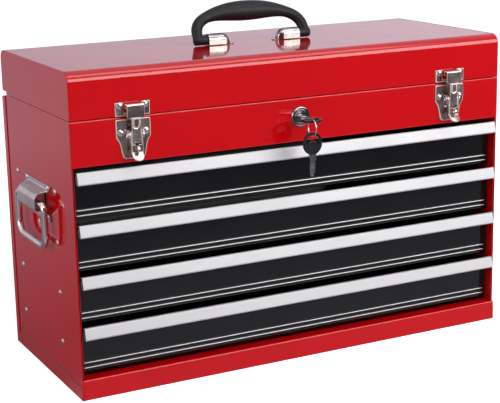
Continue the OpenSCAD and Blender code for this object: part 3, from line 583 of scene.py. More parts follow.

# %% [markdown]
# ## Painted highlights on the beads
# The crests of the beads on the drawers' faces carry a painted highlight. Each point of a
# face's mesh has a number, "bead_highlight", and where that is 1 the black enamel is pale,
# dull and partly metal.


# %% Painted highlights in the black enamel
def paint_highlight(tree, polished, metal):
    """Blends inputs of a tree's shader towards the values of a painted highlight by
    "bead_highlight".
    """
    shader = tree.nodes["Principled BSDF"]
    crest = add(tree, "ShaderNodeAttribute", attribute_name="bead_highlight")
    for label, value in polished.items():
        kind = "Float" if isinstance(value, float) else "Color"
        blend = tree.nodes.new("ShaderNodeMix")
        blend.data_type = {"Float": "FLOAT", "Color": "RGBA"}[kind]
        first, last = [n for n in blend.inputs if n.identifier in (f"A_{kind}", f"B_{kind}")]
        tree.links.new(shader.inputs[label].links[0].from_socket, first)
        last.default_value = value
        link(tree, crest, "Fac", blend, "Factor")
        result = [n for n in blend.outputs if n.identifier == f"Result_{kind}"][0]
        tree.links.new(result, shader.inputs[label])
    link(tree, calc(tree, "MULTIPLY", (crest, "Fac"), metal), 0, shader, "Metallic")


# Pale grey, duller and partly metal on the beads' crests: a painted highlight.
paint_highlight(black.node_tree, {"Base Color": (0.44, 0.44, 0.44, 1), "Roughness": 0.34}, metal=0.6)

# %% [markdown]
# ## The lid
# The lid is one sheet bent over the front, top and back, with two end plates. The front
# and back bends are wide, and the lower front edge is turned in so that nobody is cut.
# The sheet's middle line is drawn from the side and carried along the box.

# %% Lid skin and ends
TURNED_IN, REAR_LOW = 6, 3.4
skin_line = rounded(
    [(FRONT + TURNED_IN, CASE_TOP + SEAM + HALF), (FRONT + HALF, CASE_TOP + SEAM + HALF),
     (FRONT + HALF, LID_TOP - HALF), (BODY_D / 2 - HALF, LID_TOP - HALF),
     (BODY_D / 2 - HALF, CASE_TOP + REAR_LOW)],
    [0.65, LID_R - HALF, LID_R - HALF], 24)
piece("lid_sheet", prism(thick(skin_line), "x", -IN_X, IN_X), "lid", ["lid_skin"],
      red, 0.25)
for side in ("left", "right"):
    from_node(f"lid_{side}_plate", "lid", f"lid_{side}_end", red, 0.35, 3)

# %% [markdown]
# ## The case
# The case is five folded sheets. The plinth and the panel under the lid are bent to
# ledges, so their front edges are rounded like the lid's, only tighter. Each side's front
# edge is doubled back on itself: a hem, round and smooth to the hand. The pan wraps round
# the sides as a strip, and a thin black line of painted shade lies on the strip's upper
# edge, for the shadow in the gap above it.

# %% Bottom pan
LEDGE_BACK, LEDGE_DROP = FACE_Y + 3 - HALF, 8
STRIP_TOP, SHADE_STRIP_H, SHADE_STRIP_OUT, SUNK = 14.0, 0.75, 0.15, 0.1
near, far = -BODY_D / 2, BODY_D / 2
ledge_line = rounded([(near + HALF, 0.4), (near + HALF, PLINTH - HALF),
                      (LEDGE_BACK, PLINTH - HALF), (LEDGE_BACK, PLINTH - LEDGE_DROP)],
                     [1.1, 0.9], 8)
mitre = [(near, 0.2), (far - 0.2, 0.2), (far - WRAP, WRAP), (far - WRAP, STRIP_TOP),
         (near + 0.2, STRIP_TOP)]
# A thin strip of black enamel along the top of each side strip: painted shade for the shadow in the
# gap above it.
shade_strip_line = [(near + 1.2, STRIP_TOP - SUNK), (far - WRAP, STRIP_TOP - SUNK),
             (far - WRAP, STRIP_TOP + SHADE_STRIP_H), (near + 1.2, STRIP_TOP + SHADE_STRIP_H)]
painted_shade_strips = [prism(shade_strip_line, "x", SIDE - SUNK, SIDE + SHADE_STRIP_OUT),
         prism(shade_strip_line, "x", -SIDE - SHADE_STRIP_OUT, -SIDE + SUNK)]
pan = piece("pan", join([
    prism(thick(ledge_line), "x", -IN_X, IN_X),
    slab((-BODY_W / 2, near, 0), (BODY_W / 2, far, SHEET)),
    slab((-BODY_W / 2, near, 0), (-IN_X, FRONT, PLINTH)),
    slab((IN_X, near, 0), (BODY_W / 2, FRONT, PLINTH)),
    prism(mitre, "x", SIDE, BODY_W / 2), prism(mitre, "x", -BODY_W / 2, -SIDE), *painted_shade_strips]),
    "case", ["bottom_pan"], red, 0.3)
# Black on the shade strips: painted shade.
pan.data.materials.append(black)
for face in pan.data.polygons[-sum(len(faces) for _, faces in painted_shade_strips):]:
    face.material_index = 1


# %% Sides, back, panel and till
def side_sheet():
    """The right side: a plate whose rear top corner is cut away, a hem folded round its
    front edge, and a flange turned in along the top."""
    cut_y, cut_z, hem_t, hem_d, flange_w = BACK - 12, 287.6, 2.5, 12, 8
    plate = prism([(FRONT + SHEET, SHEET), (BACK, SHEET), (BACK, cut_z), (cut_y, cut_z),
                   (cut_y, CASE_TOP), (FRONT + SHEET, CASE_TOP)], "x", IN_X, SIDE)
    inner, outer = SIDE - hem_t + HALF, SIDE - HALF - 0.02
    hem = rounded([(inner, FRONT + hem_d), (inner, FRONT + HALF), (outer, FRONT + HALF),
                   (outer, FRONT + 3)], [0.79, 0.79], 10)
    flange = slab((SIDE - flange_w, FRONT + SHEET, CASE_TOP - SHEET),
                  (SIDE - 0.3, cut_y, CASE_TOP - 0.02))
    return join([plate, prism(thick(hem), "z", PLINTH + 0.3, PANEL - 0.3), flange])


for side, shell in (("right", side_sheet()), ("left", mirrored(side_sheet()))):
    piece(f"{side}_side", shell, "case", [f"{side}_side_panel"], red, 0.3, 3)
panel_line = rounded(
    [(FRONT + TURNED_IN, CASE_TOP - HALF), (FRONT + HALF, CASE_TOP - HALF),
     (FRONT + HALF, PANEL + HALF), (FACE_Y + SHEET, PANEL + HALF)], [0.9, 1.2], 10)
piece("front_panel", prism(thick(panel_line), "x", -SIDE + 0.2, SIDE - 0.2),
      "case", ["upper_front_panel"], red, 0.2)
from_node("back", "case", "back_panel", red, 0.35, 3)
from_node("till", "case", "till_floor", red, 0.3)
for side in ("left", "right"):
    from_node(f"{side}_channels", "case", f"{side}_rails", zinc, 0.2, 1)

# %% [markdown]
# ## The drawers
# A drawer's face is one sheet: a foot turned in below, two pressed beads, a ledge bent
# forward above and a lip down. A strip of anodised aluminium is clipped over that lip and
# is the pull. Both are profiles carried along the box.


# %% Drawer profiles
FACE_MID = FACE_Y + TRAY_HALF
BEADS = (3.9, 9.4)  # over the drawer's foot
TRAY_X, TRAY_D, TRAY_H, TRAY_FLOOR, TRAY_RIM = 246.6, 188, 42, 2, 4


def bead(z, rise):
    """Half a circle standing out of the face; rise runs from 0 at its ends to 1."""
    r, steps = 1.35, 12
    a = np.linspace(-np.pi / 2, np.pi / 2, steps + 1)
    return np.column_stack([FACE_MID - rise * r * np.cos(a), z + r * np.sin(a)])


def face_line(z, rise):
    """The middle line of a drawer's face sheet, from its foot up to its lip."""
    y, top = FACE_MID, z + 48.0
    foot = rounded([(y + 7, z + TRAY_HALF), (y, z + TRAY_HALF), (y, z + 1.6)], [0.5], 4)
    lip = rounded([(y, z + 12), (y, top), (-106.0, top), (-108.6, z + 39)], [0.6, 1.0], 8)
    return np.concatenate([foot, *(bead(z + up, rise) for up in BEADS), lip])


def bead_highlight(verts, z):
    """1 on the upper half of each bead's crest, where the highlight is painted, fading to 0.
    The angle round a bead, in degrees, is the arc tangent of height over stand-out."""
    middle, reach, fade = 17, 21, 13
    out = FACE_MID - verts[:, 1]
    level = np.zeros(len(verts))
    for bead_z in BEADS:
        up = verts[:, 2] - (z + bead_z)
        around = np.degrees(np.arctan2(up, np.maximum(out, 1e-3)))
        on_bead = (np.abs(up) < 2.2) & (out > 0.5)
        painted_highlight = np.clip((reach - np.abs(around - middle)) / fade, 0, 1)
        level = np.maximum(level, on_bead * painted_highlight)
    return level


def face_sheet(z):
    """The face with its two beads, whose ends are rounded off like a quarter ball."""
    end, bead_end, bead_round = 255.35, 253.2, 1.6
    u = np.linspace(0, 1, 8)
    rise = np.concatenate([[0], np.sqrt(1 - (1 - u) ** 2)])
    x = np.concatenate([[end], bead_end - bead_round * u])
    outlines = [thick(face_line(z, r), TRAY_T) for r in np.concatenate([rise, rise[::-1]])]
    return lofted(outlines, "x", np.concatenate([-x, x[::-1]]))


def pull_line(z):
    """The middle line of the aluminium pull: a top that falls away to the rear, a flat
    front that leans back by 2.9 in 11.8, and a return below."""
    corners = [(-102.8, z + 49.5), (-107.5, z + 50.5), (-110.4, z + 38.7), (-107, z + 38.7)]
    return rounded(corners, [0.9, 0.9], 10)


def tray(floor):
    """A drawer's floor, sides and back, each edge turned in along the top."""
    top, low = floor + TRAY_H - TRAY_HALF, floor + TRAY_HALF
    x, back = TRAY_X - TRAY_HALF, FACE_Y + TRAY_D
    wall = rounded([(TRAY_X - TRAY_RIM, top), (x, top), (x, low), (0, low)], [0.8, 1.2], 6)
    rear = rounded([(back - TRAY_RIM, top), (back - TRAY_HALF, top),
                    (back - TRAY_HALF, floor + 0.2)], [0.8], 6)
    half_box = prism(thick(wall, TRAY_T), "y", FACE_Y + TRAY_T, back - TRAY_T)
    return [half_box, mirrored(half_box), prism(thick(rear, TRAY_T), "x", -TRAY_X, TRAY_X)]


# %% Trays, pulls and runners
PULL_T, PULL_LEFT, PULL_RIGHT = 1.2, -254.2, 255.8
for i in range(1, 5):
    z = drawer_z(i)
    body = f"drawer_{i}"
    shell = join([face_sheet(z), *tray(z + TRAY_FLOOR)])
    box = piece(f"drawer_{i}_box", shell, body, [f"drawer_{i}_tray"], black, 0.18)
    # Where each bead's crest gets its painted highlight.
    marks = box.data.attributes.new("bead_highlight", "FLOAT", "POINT")
    marks.data.foreach_set("value", bead_highlight(shell[0], z).astype(np.float32))
    piece(f"drawer_{i}_trim", prism(thick(pull_line(z), PULL_T), "x", PULL_LEFT, PULL_RIGHT),
          body, [f"drawer_{i}_pull"], trim, 0.3, 3)
    from_node(f"drawer_{i}_slides", body, f"drawer_{i}_runners", zinc, 0.2, 1)

# %% [markdown]
# ## Rivets
# A rivet's head is a low dome with a tight rim. One profile of radius and height, turned
# round, makes it, and the same rivet is laid at every place along its own axis.


# %% Rivets everywhere
def rivet(head, height, shank_r, shank, tail):
    """A domed rivet whose shank is spread behind the sheet, into a tail. The dome's radius
    is (head squared + height squared) / 2 height."""
    ball = (head**2 + height**2) / (2 * height)
    a = np.linspace(0, np.arcsin(min(head / ball, 1.0)), 12)
    dome = np.column_stack([ball * np.sin(a), height - ball + ball * np.cos(a)])
    dome[-1, 1] = 0.12
    rest = [(head, 0.0), (shank_r, 0.0), (shank_r, -shank), (head * 0.8, -shank),
            (head * 0.85, -shank - 0.3), (head * 0.7, -shank - tail), (0, -shank - tail)]
    return turned(np.concatenate([dome, rest]), 32)


RAIL_MID, RAIL_SPAN, RAIL_UP = 9.25, 61, 21
BRACKET_T, LATCH_RIVET_X = 1.5, 13.7
rail_y = [RAIL_MID - RAIL_SPAN, RAIL_MID + RAIL_SPAN]
rail_z = [drawer_z(i) + RAIL_UP for i in range(1, 5)]
big = rivet(3.6, 1.4, 2.0, 1.9, 1.1)
piece("side_rivets", join([placed(big, (s * SIDE, y, z), (s, 0, 0))
                           for s in (-1, 1) for y in rail_y for z in rail_z]),
      "case", ["rail_rivets"], zinc)
stud = rivet(3.3, 1.2, 2.0, 2.4, 0.8)
bracket_places = [(-33, 210.0), (33, 210.0), (-31.5, 178.5), (31.5, 178.5)]
piece("bracket_rivets", join([placed(stud, (s * (SIDE + BRACKET_T), y, z), (s, 0, 0))
                              for s in (-1, 1) for y, z in bracket_places]),
      "case", ["handle_rivets"], bright)
small = rivet(3.5, 1.6, 2.0, 2.1, 0.8)
for name, body, z in (("keeper_rivets", "lid", 11.4), ("latch_base_rivets", "case", -15.8)):
    piece(name.replace("rivets", "studs"),
          join([placed(small, (s * LATCH_X + dx, FRONT - LATCH_T, CASE_TOP + z), (0, -1, 0))
                for s in (-1, 1) for dx in (-LATCH_RIVET_X, LATCH_RIVET_X)]),
          body, [name], bright)

# %% [markdown]
# ## Latches, hinge and lock
# The stampings are copies of the CAD solids with broken edges. The claws, levers, pivot
# pins, lock barrel, key blades and ring are surfaces of their own. The latches' sheared
# edges have a paler, duller finish: a painted highlight along the rims, partly standing
# for wear.

# %% Latches
# Lines of the latch are (out, up) from the case's front and top edge.
STRAP_OUT, CLAW_TOP = 8.8, 13.0
EYE_R, STRAP_HALF, HEAD_HALF = 2.25, 4.75, 9.45


def claw_relief(x, z):
    """A pressed recess below the head, with a round lower end and a raised rim. d is the
    distance outside the recess's outline, a strip closed by a half circle."""
    low, high, half_width, deep, rim = -7.1, -1.0, 3.3, 0.9, 0.3
    end = np.where(z < low, np.hypot(x, z - low), np.abs(x) + 0 * z) - half_width
    d = np.maximum(end, z - high + 0 * x)
    sunk = eased(np.clip(0.5 - d / 0.7, 0, 1))
    strap = (z > -18) & (z < 3)
    return np.where(strap, -deep * sunk + rim * np.exp(-((d - 0.5) / 0.5) ** 2), 0)


def claw_sheet():
    """The claw's sheet from the rolled eye up the front and over the keeper's hook."""
    tip_out, tip_up = 3.9, 8.3
    a = np.radians(np.linspace(-240, 0, 22))
    eye = np.column_stack([CLAW_PIN[0] + EYE_R * np.cos(a), CLAW_PIN[1] + EYE_R * np.sin(a)])
    rise = rounded([(8.25, -23.5), (STRAP_OUT, -21.5), (STRAP_OUT, CLAW_TOP),
                    (tip_out, CLAW_TOP), (tip_out, tip_up)], [3, 1.1, 1.1], 8)
    line = spaced(np.concatenate([eye, rise]), 0.4)
    wide = eased(np.clip((line[:, 1] + 1.3) / 1.4, 0, 1))
    half_width = STRAP_HALF + (HEAD_HALF - STRAP_HALF) * wide
    line = line * [-1, 1] + [FRONT, CASE_TOP]
    return strip(line[::-1], half_width[::-1], LATCH_T,
                 lambda x, z: claw_relief(x, z - CASE_TOP))


def lever_shell():
    """The lever: two cheeks round the pins, and a web that turns outward into a thumb tab
    closed by a half circle. Its slot runs from the top of the web to just below the bend."""
    turn, top, bend, length, r = np.radians(40), -27.8, -36.0, 9.8, 6.0
    web_half, slot_half, slot_past, crown_h, flank, middle = 6.4, 1.8, 1.2, 0.5, 9, 7
    tip = (STRAP_OUT + length * np.sin(turn), bend - length * np.cos(turn))
    line = spaced(rounded([(STRAP_OUT, top), (STRAP_OUT, bend), tip], [2.0], 10), 0.35)
    run = run_along(line) - (top - bend)
    past = np.clip(run - (length - r), 0, r * 0.998)
    half_width = np.minimum(web_half, np.sqrt(r**2 - past**2))
    half_width[run < 0] = web_half
    inner = np.minimum(slot_half, half_width / 2)[:, None]
    u = np.linspace(0, 1, flank)
    x = np.concatenate([-(inner + (half_width[:, None] - inner) * u[None, ::-1]),
                        inner * np.linspace(-1, 1, middle)[None, 1:-1],
                        inner + (half_width[:, None] - inner) * u], 1)
    d = directions(line)
    across = np.stack([d[:, 1], -d[:, 0]], 1)[:, None, :]
    crown = crown_h * np.clip(run / 6, 0, 1)[:, None] * (1 - (x / 6.5) ** 2)
    sheets = []
    for side in (1, -1):
        oz = line[:, None, :] - across * (side * LATCH_T / 2 + crown[..., None])
        sheets.append(np.stack([x, FRONT - oz[..., 0], CASE_TOP + oz[..., 1]], -1))
    keep = np.ones((x.shape[0] - 1, x.shape[1] - 1), bool)
    keep[run[1:] < slot_past, flank - 1:flank + middle - 2] = False
    web = pierced(*sheets, keep)
    a = np.radians(np.linspace(180, 0, 13))
    ear = np.column_stack([LEVER_PIN[0] + 3 * np.cos(a), LEVER_PIN[1] + 3 * np.sin(a)])
    cheek = np.concatenate([ear, [(9, -24), (9.4, -28), (9.4, bend), (8.2, bend), (6, -30),
                                  (3, -24)]])
    plate = cheek * [-1, 1] + [FRONT, CASE_TOP]
    ends = (web_half - LATCH_T, web_half)
    return join([web, prism(plate, "x", *ends), prism(plate, "x", -ends[1], -ends[0])])


def pin_shell():
    """A pivot pin through both ears: a rod with a hollow head at each end."""
    head = np.array([(0, 7.0), (1.4, 7.0), (1.5, 8.4), (1.9, 9.2), (2.6, 9.1), (2.9, 8.6),
                     (2.9, 8.2), (1.9, 8.15)])
    profile = np.concatenate([head, (head * [1, -1])[::-1]])
    return placed(turned(profile, 32), (0, FRONT - LEVER_PIN[0], CASE_TOP + LEVER_PIN[1]),
                  (1, 0, 0))


# The plates', levers' and claws' edges get the paler finish: a painted highlight, partly wear.
for side, s in (("left", -1), ("right", 1)):
    for name, body, node in ((f"{side}_hook_plate", "lid", f"{side}_keeper"),
                             (f"{side}_base_plate", "case", f"{side}_latch_base")):
        from_node(name, body, node, nickel, 0.25, 3, 1.0, FRONT - LATCH_T, rim_highlight_nickel)
    for name, shell, edge in (("lever", lever_shell(), 0.45), ("claw", claw_sheet(), 0.3)):
        piece(f"{side}_latch_{name}", moved(shell, (s * LATCH_X, 0, 0)), f"{side}_{name}",
              [f"{side}_{name}"], nickel, edge, 3, rim_highlight_nickel)
    from_node(f"{side}_link_pin", f"{side}_lever", f"{side}_claw_pin", bright, 0.2)
piece("pivot_pins", join([moved(pin_shell(), (s * LATCH_X, 0, 0)) for s in (-1, 1)]), "case",
      ["lever_pins"], bright)

# %% Hinge
from_node("hinge_lower_leaf", "case", "case_hinge_leaf", zinc, 0.15)
from_node("hinge_upper_leaf", "lid", "lid_hinge_leaf", zinc, 0.15)
from_node("hinge_rod", "case", "hinge_pin", zinc, 0.2)

# %% Lock and keys
bezel = rounded([(6.05, -17), (6.05, 1.2), (6.7, 2.3), (7.9, 2.3), (8.3, 0.4), (9.0, 0.4),
                 (9.5, 1.8), (10.5, 1.6), (11, 0.8), (11, 0), (9, 0), (9, -17)],
                [0.2, 0.4, 0.4, 0.15, 0.15, 0.4, 0.4, 0.3, 0.05, 0.05], 5)
piece("lock_body", placed(ring_turned(bezel), (0, FRONT, LOCK_Z), (0, -1, 0)), "case",
      ["lock_barrel"], smoked)
from_node("lock_ring_nut", "case", "lock_nut", chrome, 0.25)
from_node("lock_core", "lock_plug", "lock_plug", smoked, 0.2)
from_node("lock_tongue", "lock_plug", "lock_cam", zinc, 0.2)
from_node("tongue_screw", "lock_plug", "cam_screw", zinc, 0.15)
from_node("strike", "lid", "lid_strike", zinc, 0.25)


def key_blade():
    """A blade along +y from the head's centre. At each y its cross-section is the same
    eight points: a groove in one face, and the right edge in or out as the cuts ask."""
    cuts = [(6.0, 3.8), (7.6, 2.0), (8.8, 2.0), (10.0, 3.2), (11.8, 1.2), (12.8, 1.2),
            (14.2, 2.9), (15.6, 1.6), (16.6, 1.6), (17.8, 2.8), (19.4, 1.3), (20.4, 1.3),
            (22.4, -1.2)]
    buried, length, half_t, head_y = 5.0, 22.4, 1.1, 12.3
    y = np.concatenate([[-buried], np.linspace(0, length, 113)])
    edge = np.interp(y, *np.array(cuts).T)
    back = np.interp(y, [20.4, length], [-3.8, -2.4])
    sections = [[(b, -half_t), (e, -half_t), (e, half_t), (b + 3.4, half_t), (b + 3.2, 0.6),
                 (b + 1.6, 0.6), (b + 1.4, half_t), (b, half_t)]
                for b, e in zip(back, np.maximum(edge, back + 3.6))]
    return lofted(sections, "y", head_y + y)


def key_at(shell, k):
    """Key 1 lies in the lock, pointing back; key 2 hangs down from the ring."""
    low, high = (np.array(v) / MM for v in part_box(f"key_{k}_head"))
    x, y, z = shell[0].T
    laid = np.stack([x, y, z] if k == 1 else [x, z, -y], 1)
    return closed(laid + (low + high) / 2, shell[1])


for k in (1, 2):
    from_node(f"key_{k}_bow", f"key_{k}", f"key_{k}_head", key_black, 0.5, 3)
    piece(f"key_{k}_bit", key_at(key_blade(), k), f"key_{k}", [f"key_{k}_blade"],
          steel, 0.1)
RING_R, WIRE_R, RING_AT = 8.6, 0.6, (-4.5, -140.454, 264.662)
wire = ring_turned([(RING_R + WIRE_R * np.cos(a), WIRE_R * np.sin(a))
                    for a in np.linspace(0, 2 * np.pi, 16, endpoint=False)])
piece("split_ring", placed(wire, RING_AT, (1, 0, 0)), "key_ring", ["key_ring"],
      chrome)

# %% [markdown]
# ## Handles
# The carry handle is a moulded grip: thin at its two feet and full in the palm. Its middle
# line is half of a superellipse, |x/a|^3 + |z/b|^3 = 1, and a ring is carried along it whose
# radius grows towards the middle. The drop handles are bent rod, and their brackets are a
# plate that is carried over the rod's pins.


# %% Carry grip
def grip_shell():
    """The grip upright about its pivot: x across, z up. The turns of the rings are spread
    so that they lie close at the corners."""
    a, b, power, rings, leg, palm, flat = 67.0, 32.5, 3, 120, 5.4, 5.2, 0.92
    u = np.linspace(0, 1, rings)
    angle = np.pi * (u - np.sin(2 * np.pi * u) / (2 * np.pi) * 0.7)
    c, s = np.cos(angle), np.clip(np.sin(angle), 0, None)
    path = np.column_stack([a * np.sign(c) * np.abs(c) ** (2 / power), 0 * c, b * s ** (2 / power)])
    w = np.clip(np.abs(path[:, 0]) / (2 * a * 0.38), 0, 1)
    r = leg + 0.9 * np.clip(path[:, 2] / 12, 0, 1) + palm * np.cos(np.pi / 2 * w) ** 1.2
    t = np.radians(np.linspace(85, 8, 10))
    foot = np.column_stack([np.full(10, a), np.zeros(10), -leg * np.sin(t)])
    foot_r = leg * np.cos(t)
    path = np.concatenate([foot, path, foot[::-1] * [-1, 1, 1]])
    r = np.concatenate([foot_r, r, foot_r[::-1]])
    return swept(path, r, (0, 1.0, 0), 48, flat)


def lean(shell, degrees, height):
    """Turns a shell about the x axis, backwards, and lifts it to its pivot."""
    x, y, z = shell[0].T
    t = np.radians(degrees)
    leant = np.column_stack([x, y * np.cos(t) + z * np.sin(t),
                             -y * np.sin(t) + z * np.cos(t) + height])
    return closed(leant, shell[1])


LEAN, TRUNNION_X = 32, 53
piece("grip", lean(grip_shell(), LEAN, GRIP_Z), "carry_handle", ["carry_grip"],
      plastic)
trunnion = turned([(0, -19), (5.1, -19), (5.4, -18.6), (5.4, 17.4), (4.9, 18.6), (3.8, 19.2),
                   (0, 19.2)], 40)
piece("grip_pins", join([placed(trunnion, (s * TRUNNION_X, 0, GRIP_Z), (s, 0, 0))
                         for s in (-1, 1)]),
      "carry_handle", ["grip_trunnions"], plastic)


# %% Carry brackets
def grip_bracket():
    """The right bracket: an arched strap, and over its inner end the arch shrinks along a
    blunt quarter ellipse, (1 - u^2.5)^(1 / 2.5), as where a die has domed it. A foot lies
    along its front and rear, a tongue runs in from the dome, and two more reach through
    the lid and are turned over under it."""
    r, pivot, blunt, outer, dome_x, dome = 6.25, 6, 2.5, 57, 42.5, 13
    arc = np.radians(np.linspace(0, 180, 25))
    arch = np.concatenate([[(r, 0.75)], np.column_stack([r * np.cos(arc), pivot + r * np.sin(arc)]),
                           [(-r, 0.75)]])
    u = np.concatenate([[0, 0], np.linspace(0, 0.985, 18)])
    x = np.concatenate([[outer, 43], dome_x - dome * u[2:]])
    outlines = [thick(arch * k, 1.3) + [0, LID_TOP] for k in (1 - u**blunt) ** (1 / blunt)]
    low = LID_TOP + 0.02
    feet = [slab((36, y, low), (52, y + 2.6, LID_TOP + 0.55)) for y in (-9.0, 6.4)]
    feet.append(slab((25, -2.2, low), (36, 2.2, LID_TOP + 1.2)))
    tongues = [slab((41, y, 337.4), (49, y + 1.5, 340.3)) for y in (-7, 5.5)]
    turned_over = [slab((41, y, 337.5), (49, y + 4.6, 338.7)) for y in (-6.95, 2.35)]
    return join([lofted(outlines, "x", x), *feet, *tongues, *turned_over])


for side, shell in (("right", grip_bracket()), ("left", mirrored(grip_bracket()))):
    piece(f"{side}_grip_bracket", shell, "lid", [f"{side}_carry_bracket"], pressed,
          0.3, 3)


# %% Drop handles
def bail_path():
    """The rod's middle line in y and z: two pins in, rounded corners, a straight bar."""
    corners = [(17, 0), (43, 0), (43, -45), (-43, -45), (-43, 0), (-17, 0)]
    line = rounded(corners, [6, 14, 14, 6], 16)
    return np.column_stack([np.zeros(len(line)), line])


def handle_plate():
    """The bracket's sheet from its flange, out over the rod's pins, down its front and back
    to the panel as a tongue; with the two cheeks that carry the pins. Out is along +x."""
    lies, crest = 0.77, 14.4
    line = spaced(rounded([(lies, 19), (lies, 13.5), (11.5, 8.8), (crest, 4.5), (crest, -7.5),
                           (1.6, -12.8), (lies, -15), (lies, -20.5)],
                          [2.5, 3, 3, 2, 1.5, 1.5], 8), 0.5)
    half_width = np.interp(-line[:, 1], [-19, -13.5, -10.5, -7, 9, 12.5, 14],
                           [43.5, 36.5, 29, 28, 28, 35, 36])
    sheet, quads = strip(line[::-1], half_width[::-1], BRACKET_T, lambda x, z: 0 * (x + z), 41)
    cheek = [(0.8, 11.5), (8, 9), (13.4, 4), (13.4, -7), (0.8, -12)]
    cheeks = [prism(cheek, "y", y, y + BRACKET_T) for y in (-20.75, 19.25)]
    return join([closed(sheet[:, [1, 0, 2]], quads), *cheeks])


ROD_R = 3.5
for side, s in (("left", -1), ("right", 1)):
    plate = moved(handle_plate(), (SIDE, 0, BAIL_Z))
    piece(f"{side}_handle_plate", plate if s > 0 else mirrored(plate), "case",
          [f"{side}_handle_bracket"], zinc, 0.35, 3)
    rod = swept(bail_path() + [s * (SIDE + BAIL_OUT), 0, BAIL_Z], ROD_R, (1.0, 0, 0))
    piece(f"{side}_drop_handle", rod, f"{side}_bail", [f"{side}_bail"], bright, 0.4, 3)

# %% [markdown]
# ## Floor, light and camera
# The box stands on a pale floor under soft lamps. What mirrors the room matters as much as
# the lamps on gloss enamel and plated steel: the room is bright above, behind and at the
# sides, and dim in front, so the front stays deep red and the metal has dark and bright.

# %% Floor
# It is white to the camera. What gloss and metal see of it is light behind the box and in
# front of it, dim close to it, and lighter again at its left.
floor_mesh = bpy.data.meshes.new("floor")
floor_mesh.from_pydata([(-14, -10, 0), (14, -10, 0), (14, 22, 0), (-14, 22, 0)], [],
                       [(0, 1, 2, 3)])
floor_obj = in_scene("floor", floor_mesh)
pale = bpy.data.materials.new("pale_floor")
pale.use_nodes = True
tree = pale.node_tree
tree.nodes.remove(tree.nodes["Principled BSDF"])
diffuse = add(tree, "ShaderNodeBsdfDiffuse", Color=(0.80, 0.80, 0.80, 1))
glow = add(tree, "ShaderNodeEmission", Color=(1, 1, 1, 1))
rays = tree.nodes.new("ShaderNodeLightPath")
seen = calc(tree, "MULTIPLY", (rays, "Is Camera Ray"), 0.93)
link(tree, seen, 0, glow, "Strength")
lit = tree.nodes.new("ShaderNodeAddShader")
link(tree, diffuse, 0, lit, 0)
link(tree, glow, 0, lit, 1)
place = tree.nodes.new("ShaderNodeNewGeometry")
spot = tree.nodes.new("ShaderNodeSeparateXYZ")
link(tree, place, "Position", spot, "Vector")
behind = remap(tree, spot, "Y", 0.1, 1.25, 0.15, 0.52)
before = remap(tree, spot, "Y", -1.1, -0.25, 0.05, 0.40)
near_front = remap(tree, spot, "Y", -0.12, 0.02, 1.0, 0.0)
before = calc(tree, "MULTIPLY", (before, 0), (near_front, 0))
depth = calc(tree, "MAXIMUM", (behind, 0), (before, 0))
off_left = remap(tree, spot, "X", -0.6, -1.3, 0.0, 0.85)
in_front = remap(tree, spot, "Y", -0.10, -0.35, 0.0, 1.0)
beside = calc(tree, "MULTIPLY", (off_left, 0), (in_front, 0))
depth = calc(tree, "MAXIMUM", (depth, 0), (beside, 0))
mirrored_floor = add(tree, "ShaderNodeEmission", Color=(1, 0.97, 1.14, 1))
link(tree, depth, 0, mirrored_floor, "Strength")
choice = tree.nodes.new("ShaderNodeMixShader")
link(tree, rays, "Is Glossy Ray", choice, "Fac")
link(tree, lit, 0, choice, 1)
link(tree, mirrored_floor, 0, choice, 2)
link(tree, choice, 0, tree.nodes["Material Output"], "Surface")
floor_mesh.materials.append(pale)

# %% Room
world = bpy.context.scene.world or bpy.data.worlds.new("room")
bpy.context.scene.world = world
world.use_nodes = True
tree = world.node_tree
tree.nodes.clear()
where = tree.nodes.new("ShaderNodeTexCoord")
parts = tree.nodes.new("ShaderNodeSeparateXYZ")
link(tree, where, "Generated", parts, "Vector")
back_bright = remap(tree, parts, "Y", -0.35, 0.10, 0.0, 1.0)
rightward = remap(tree, parts, "X", -0.20, 0.62, 0.18, 0.82)
leftward = remap(tree, parts, "X", -0.38, -0.06, 0.75, 0.0)
sides = calc(tree, "MAXIMUM", (rightward, 0), (leftward, 0))
back_level = calc(tree, "MULTIPLY", (back_bright, 0), (sides, 0))
high_level = remap(tree, parts, "Z", 0.55, 0.90, 0.0, 0.9)
lit_level = calc(tree, "MAXIMUM", (back_level, 0), (high_level, 0))
room = calc(tree, "ADD", (lit_level, 0), 0.10)
rays = tree.nodes.new("ShaderNodeLightPath")
glossy = calc(tree, "MAXIMUM", (rays, "Is Glossy Ray"), (rays, "Is Transmission Ray"))
level = tree.nodes.new("ShaderNodeMix")
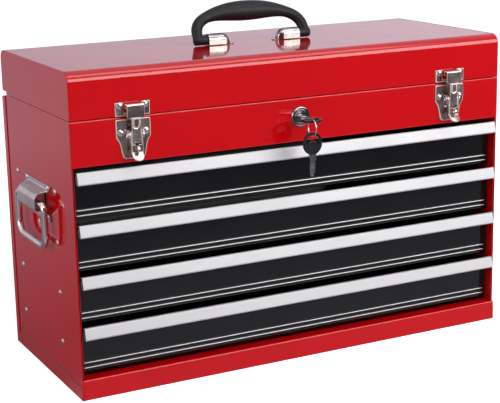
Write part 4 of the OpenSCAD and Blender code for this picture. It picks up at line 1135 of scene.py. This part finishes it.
level.inputs["A"].default_value = 0.14
link(tree, glossy, 0, level, "Factor")
link(tree, room, 0, level, "B")
white = tree.nodes.new("ShaderNodeMix")
white.inputs["B"].default_value = 1.02
link(tree, rays, "Is Camera Ray", white, "Factor")
link(tree, level, 0, white, "A")
sky = add(tree, "ShaderNodeBackground", Color=(1, 0.985, 1.12, 1))
link(tree, white, 0, sky, "Strength")
out = tree.nodes.new("ShaderNodeOutputWorld")
link(tree, sky, 0, out, "Surface")


# %% Lamps
def lamp(name, at, aim, size, power):
    """A soft lamp of a width and height that points at a place, in metres and watts."""
    light = bpy.data.lights.new(name, "AREA")
    light.shape = "RECTANGLE"
    light.size, light.size_y = size
    light.energy = power
    obj = in_scene(name, light)
    obj.location = at
    obj.rotation_euler = (Vector(aim) - Vector(at)).to_track_quat("-Z", "Y").to_euler()


lamp("key", (1.05, -1.80, 1.00), (0, 0, 0.18), (1.7, 1.1), 37)
lamp("left_fill", (-2.1, -0.4, 0.95), (0, 0, 0.18), (1.2, 1.2), 17)
lamp("overhead", (0.35, -1.0, 2.0), (0, 0, 0.25), (2.0, 0.8), 14)

# %% Camera
PX_WIDE, FILM = 500, 36
STAND = (-0.69832, -1.35511, 0.53146)
yaw, pitch, roll, focal = 0.47135, 0.24186, -0.02067, 1361.04  # radians and pixels
ahead = Vector((np.sin(yaw) * np.cos(pitch), np.cos(yaw) * np.cos(pitch), -np.sin(pitch)))
right = Vector((np.cos(yaw), -np.sin(yaw), 0))
up = right.cross(ahead)
tilt_right = right * np.cos(roll) + up * np.sin(roll)
tilt_up = up * np.cos(roll) - right * np.sin(roll)
lens = bpy.data.cameras.new("camera")
lens.sensor_width = FILM
lens.lens = FILM * focal / PX_WIDE
lens.clip_start, lens.clip_end = 0.05, 60
camera = in_scene("camera", lens)
turn = Matrix([tilt_right, tilt_up, -ahead]).transposed().to_4x4()
camera.matrix_world = Matrix.Translation(STAND) @ turn
bpy.context.scene.camera = camera
bpy.context.scene.view_settings.view_transform = "Standard"
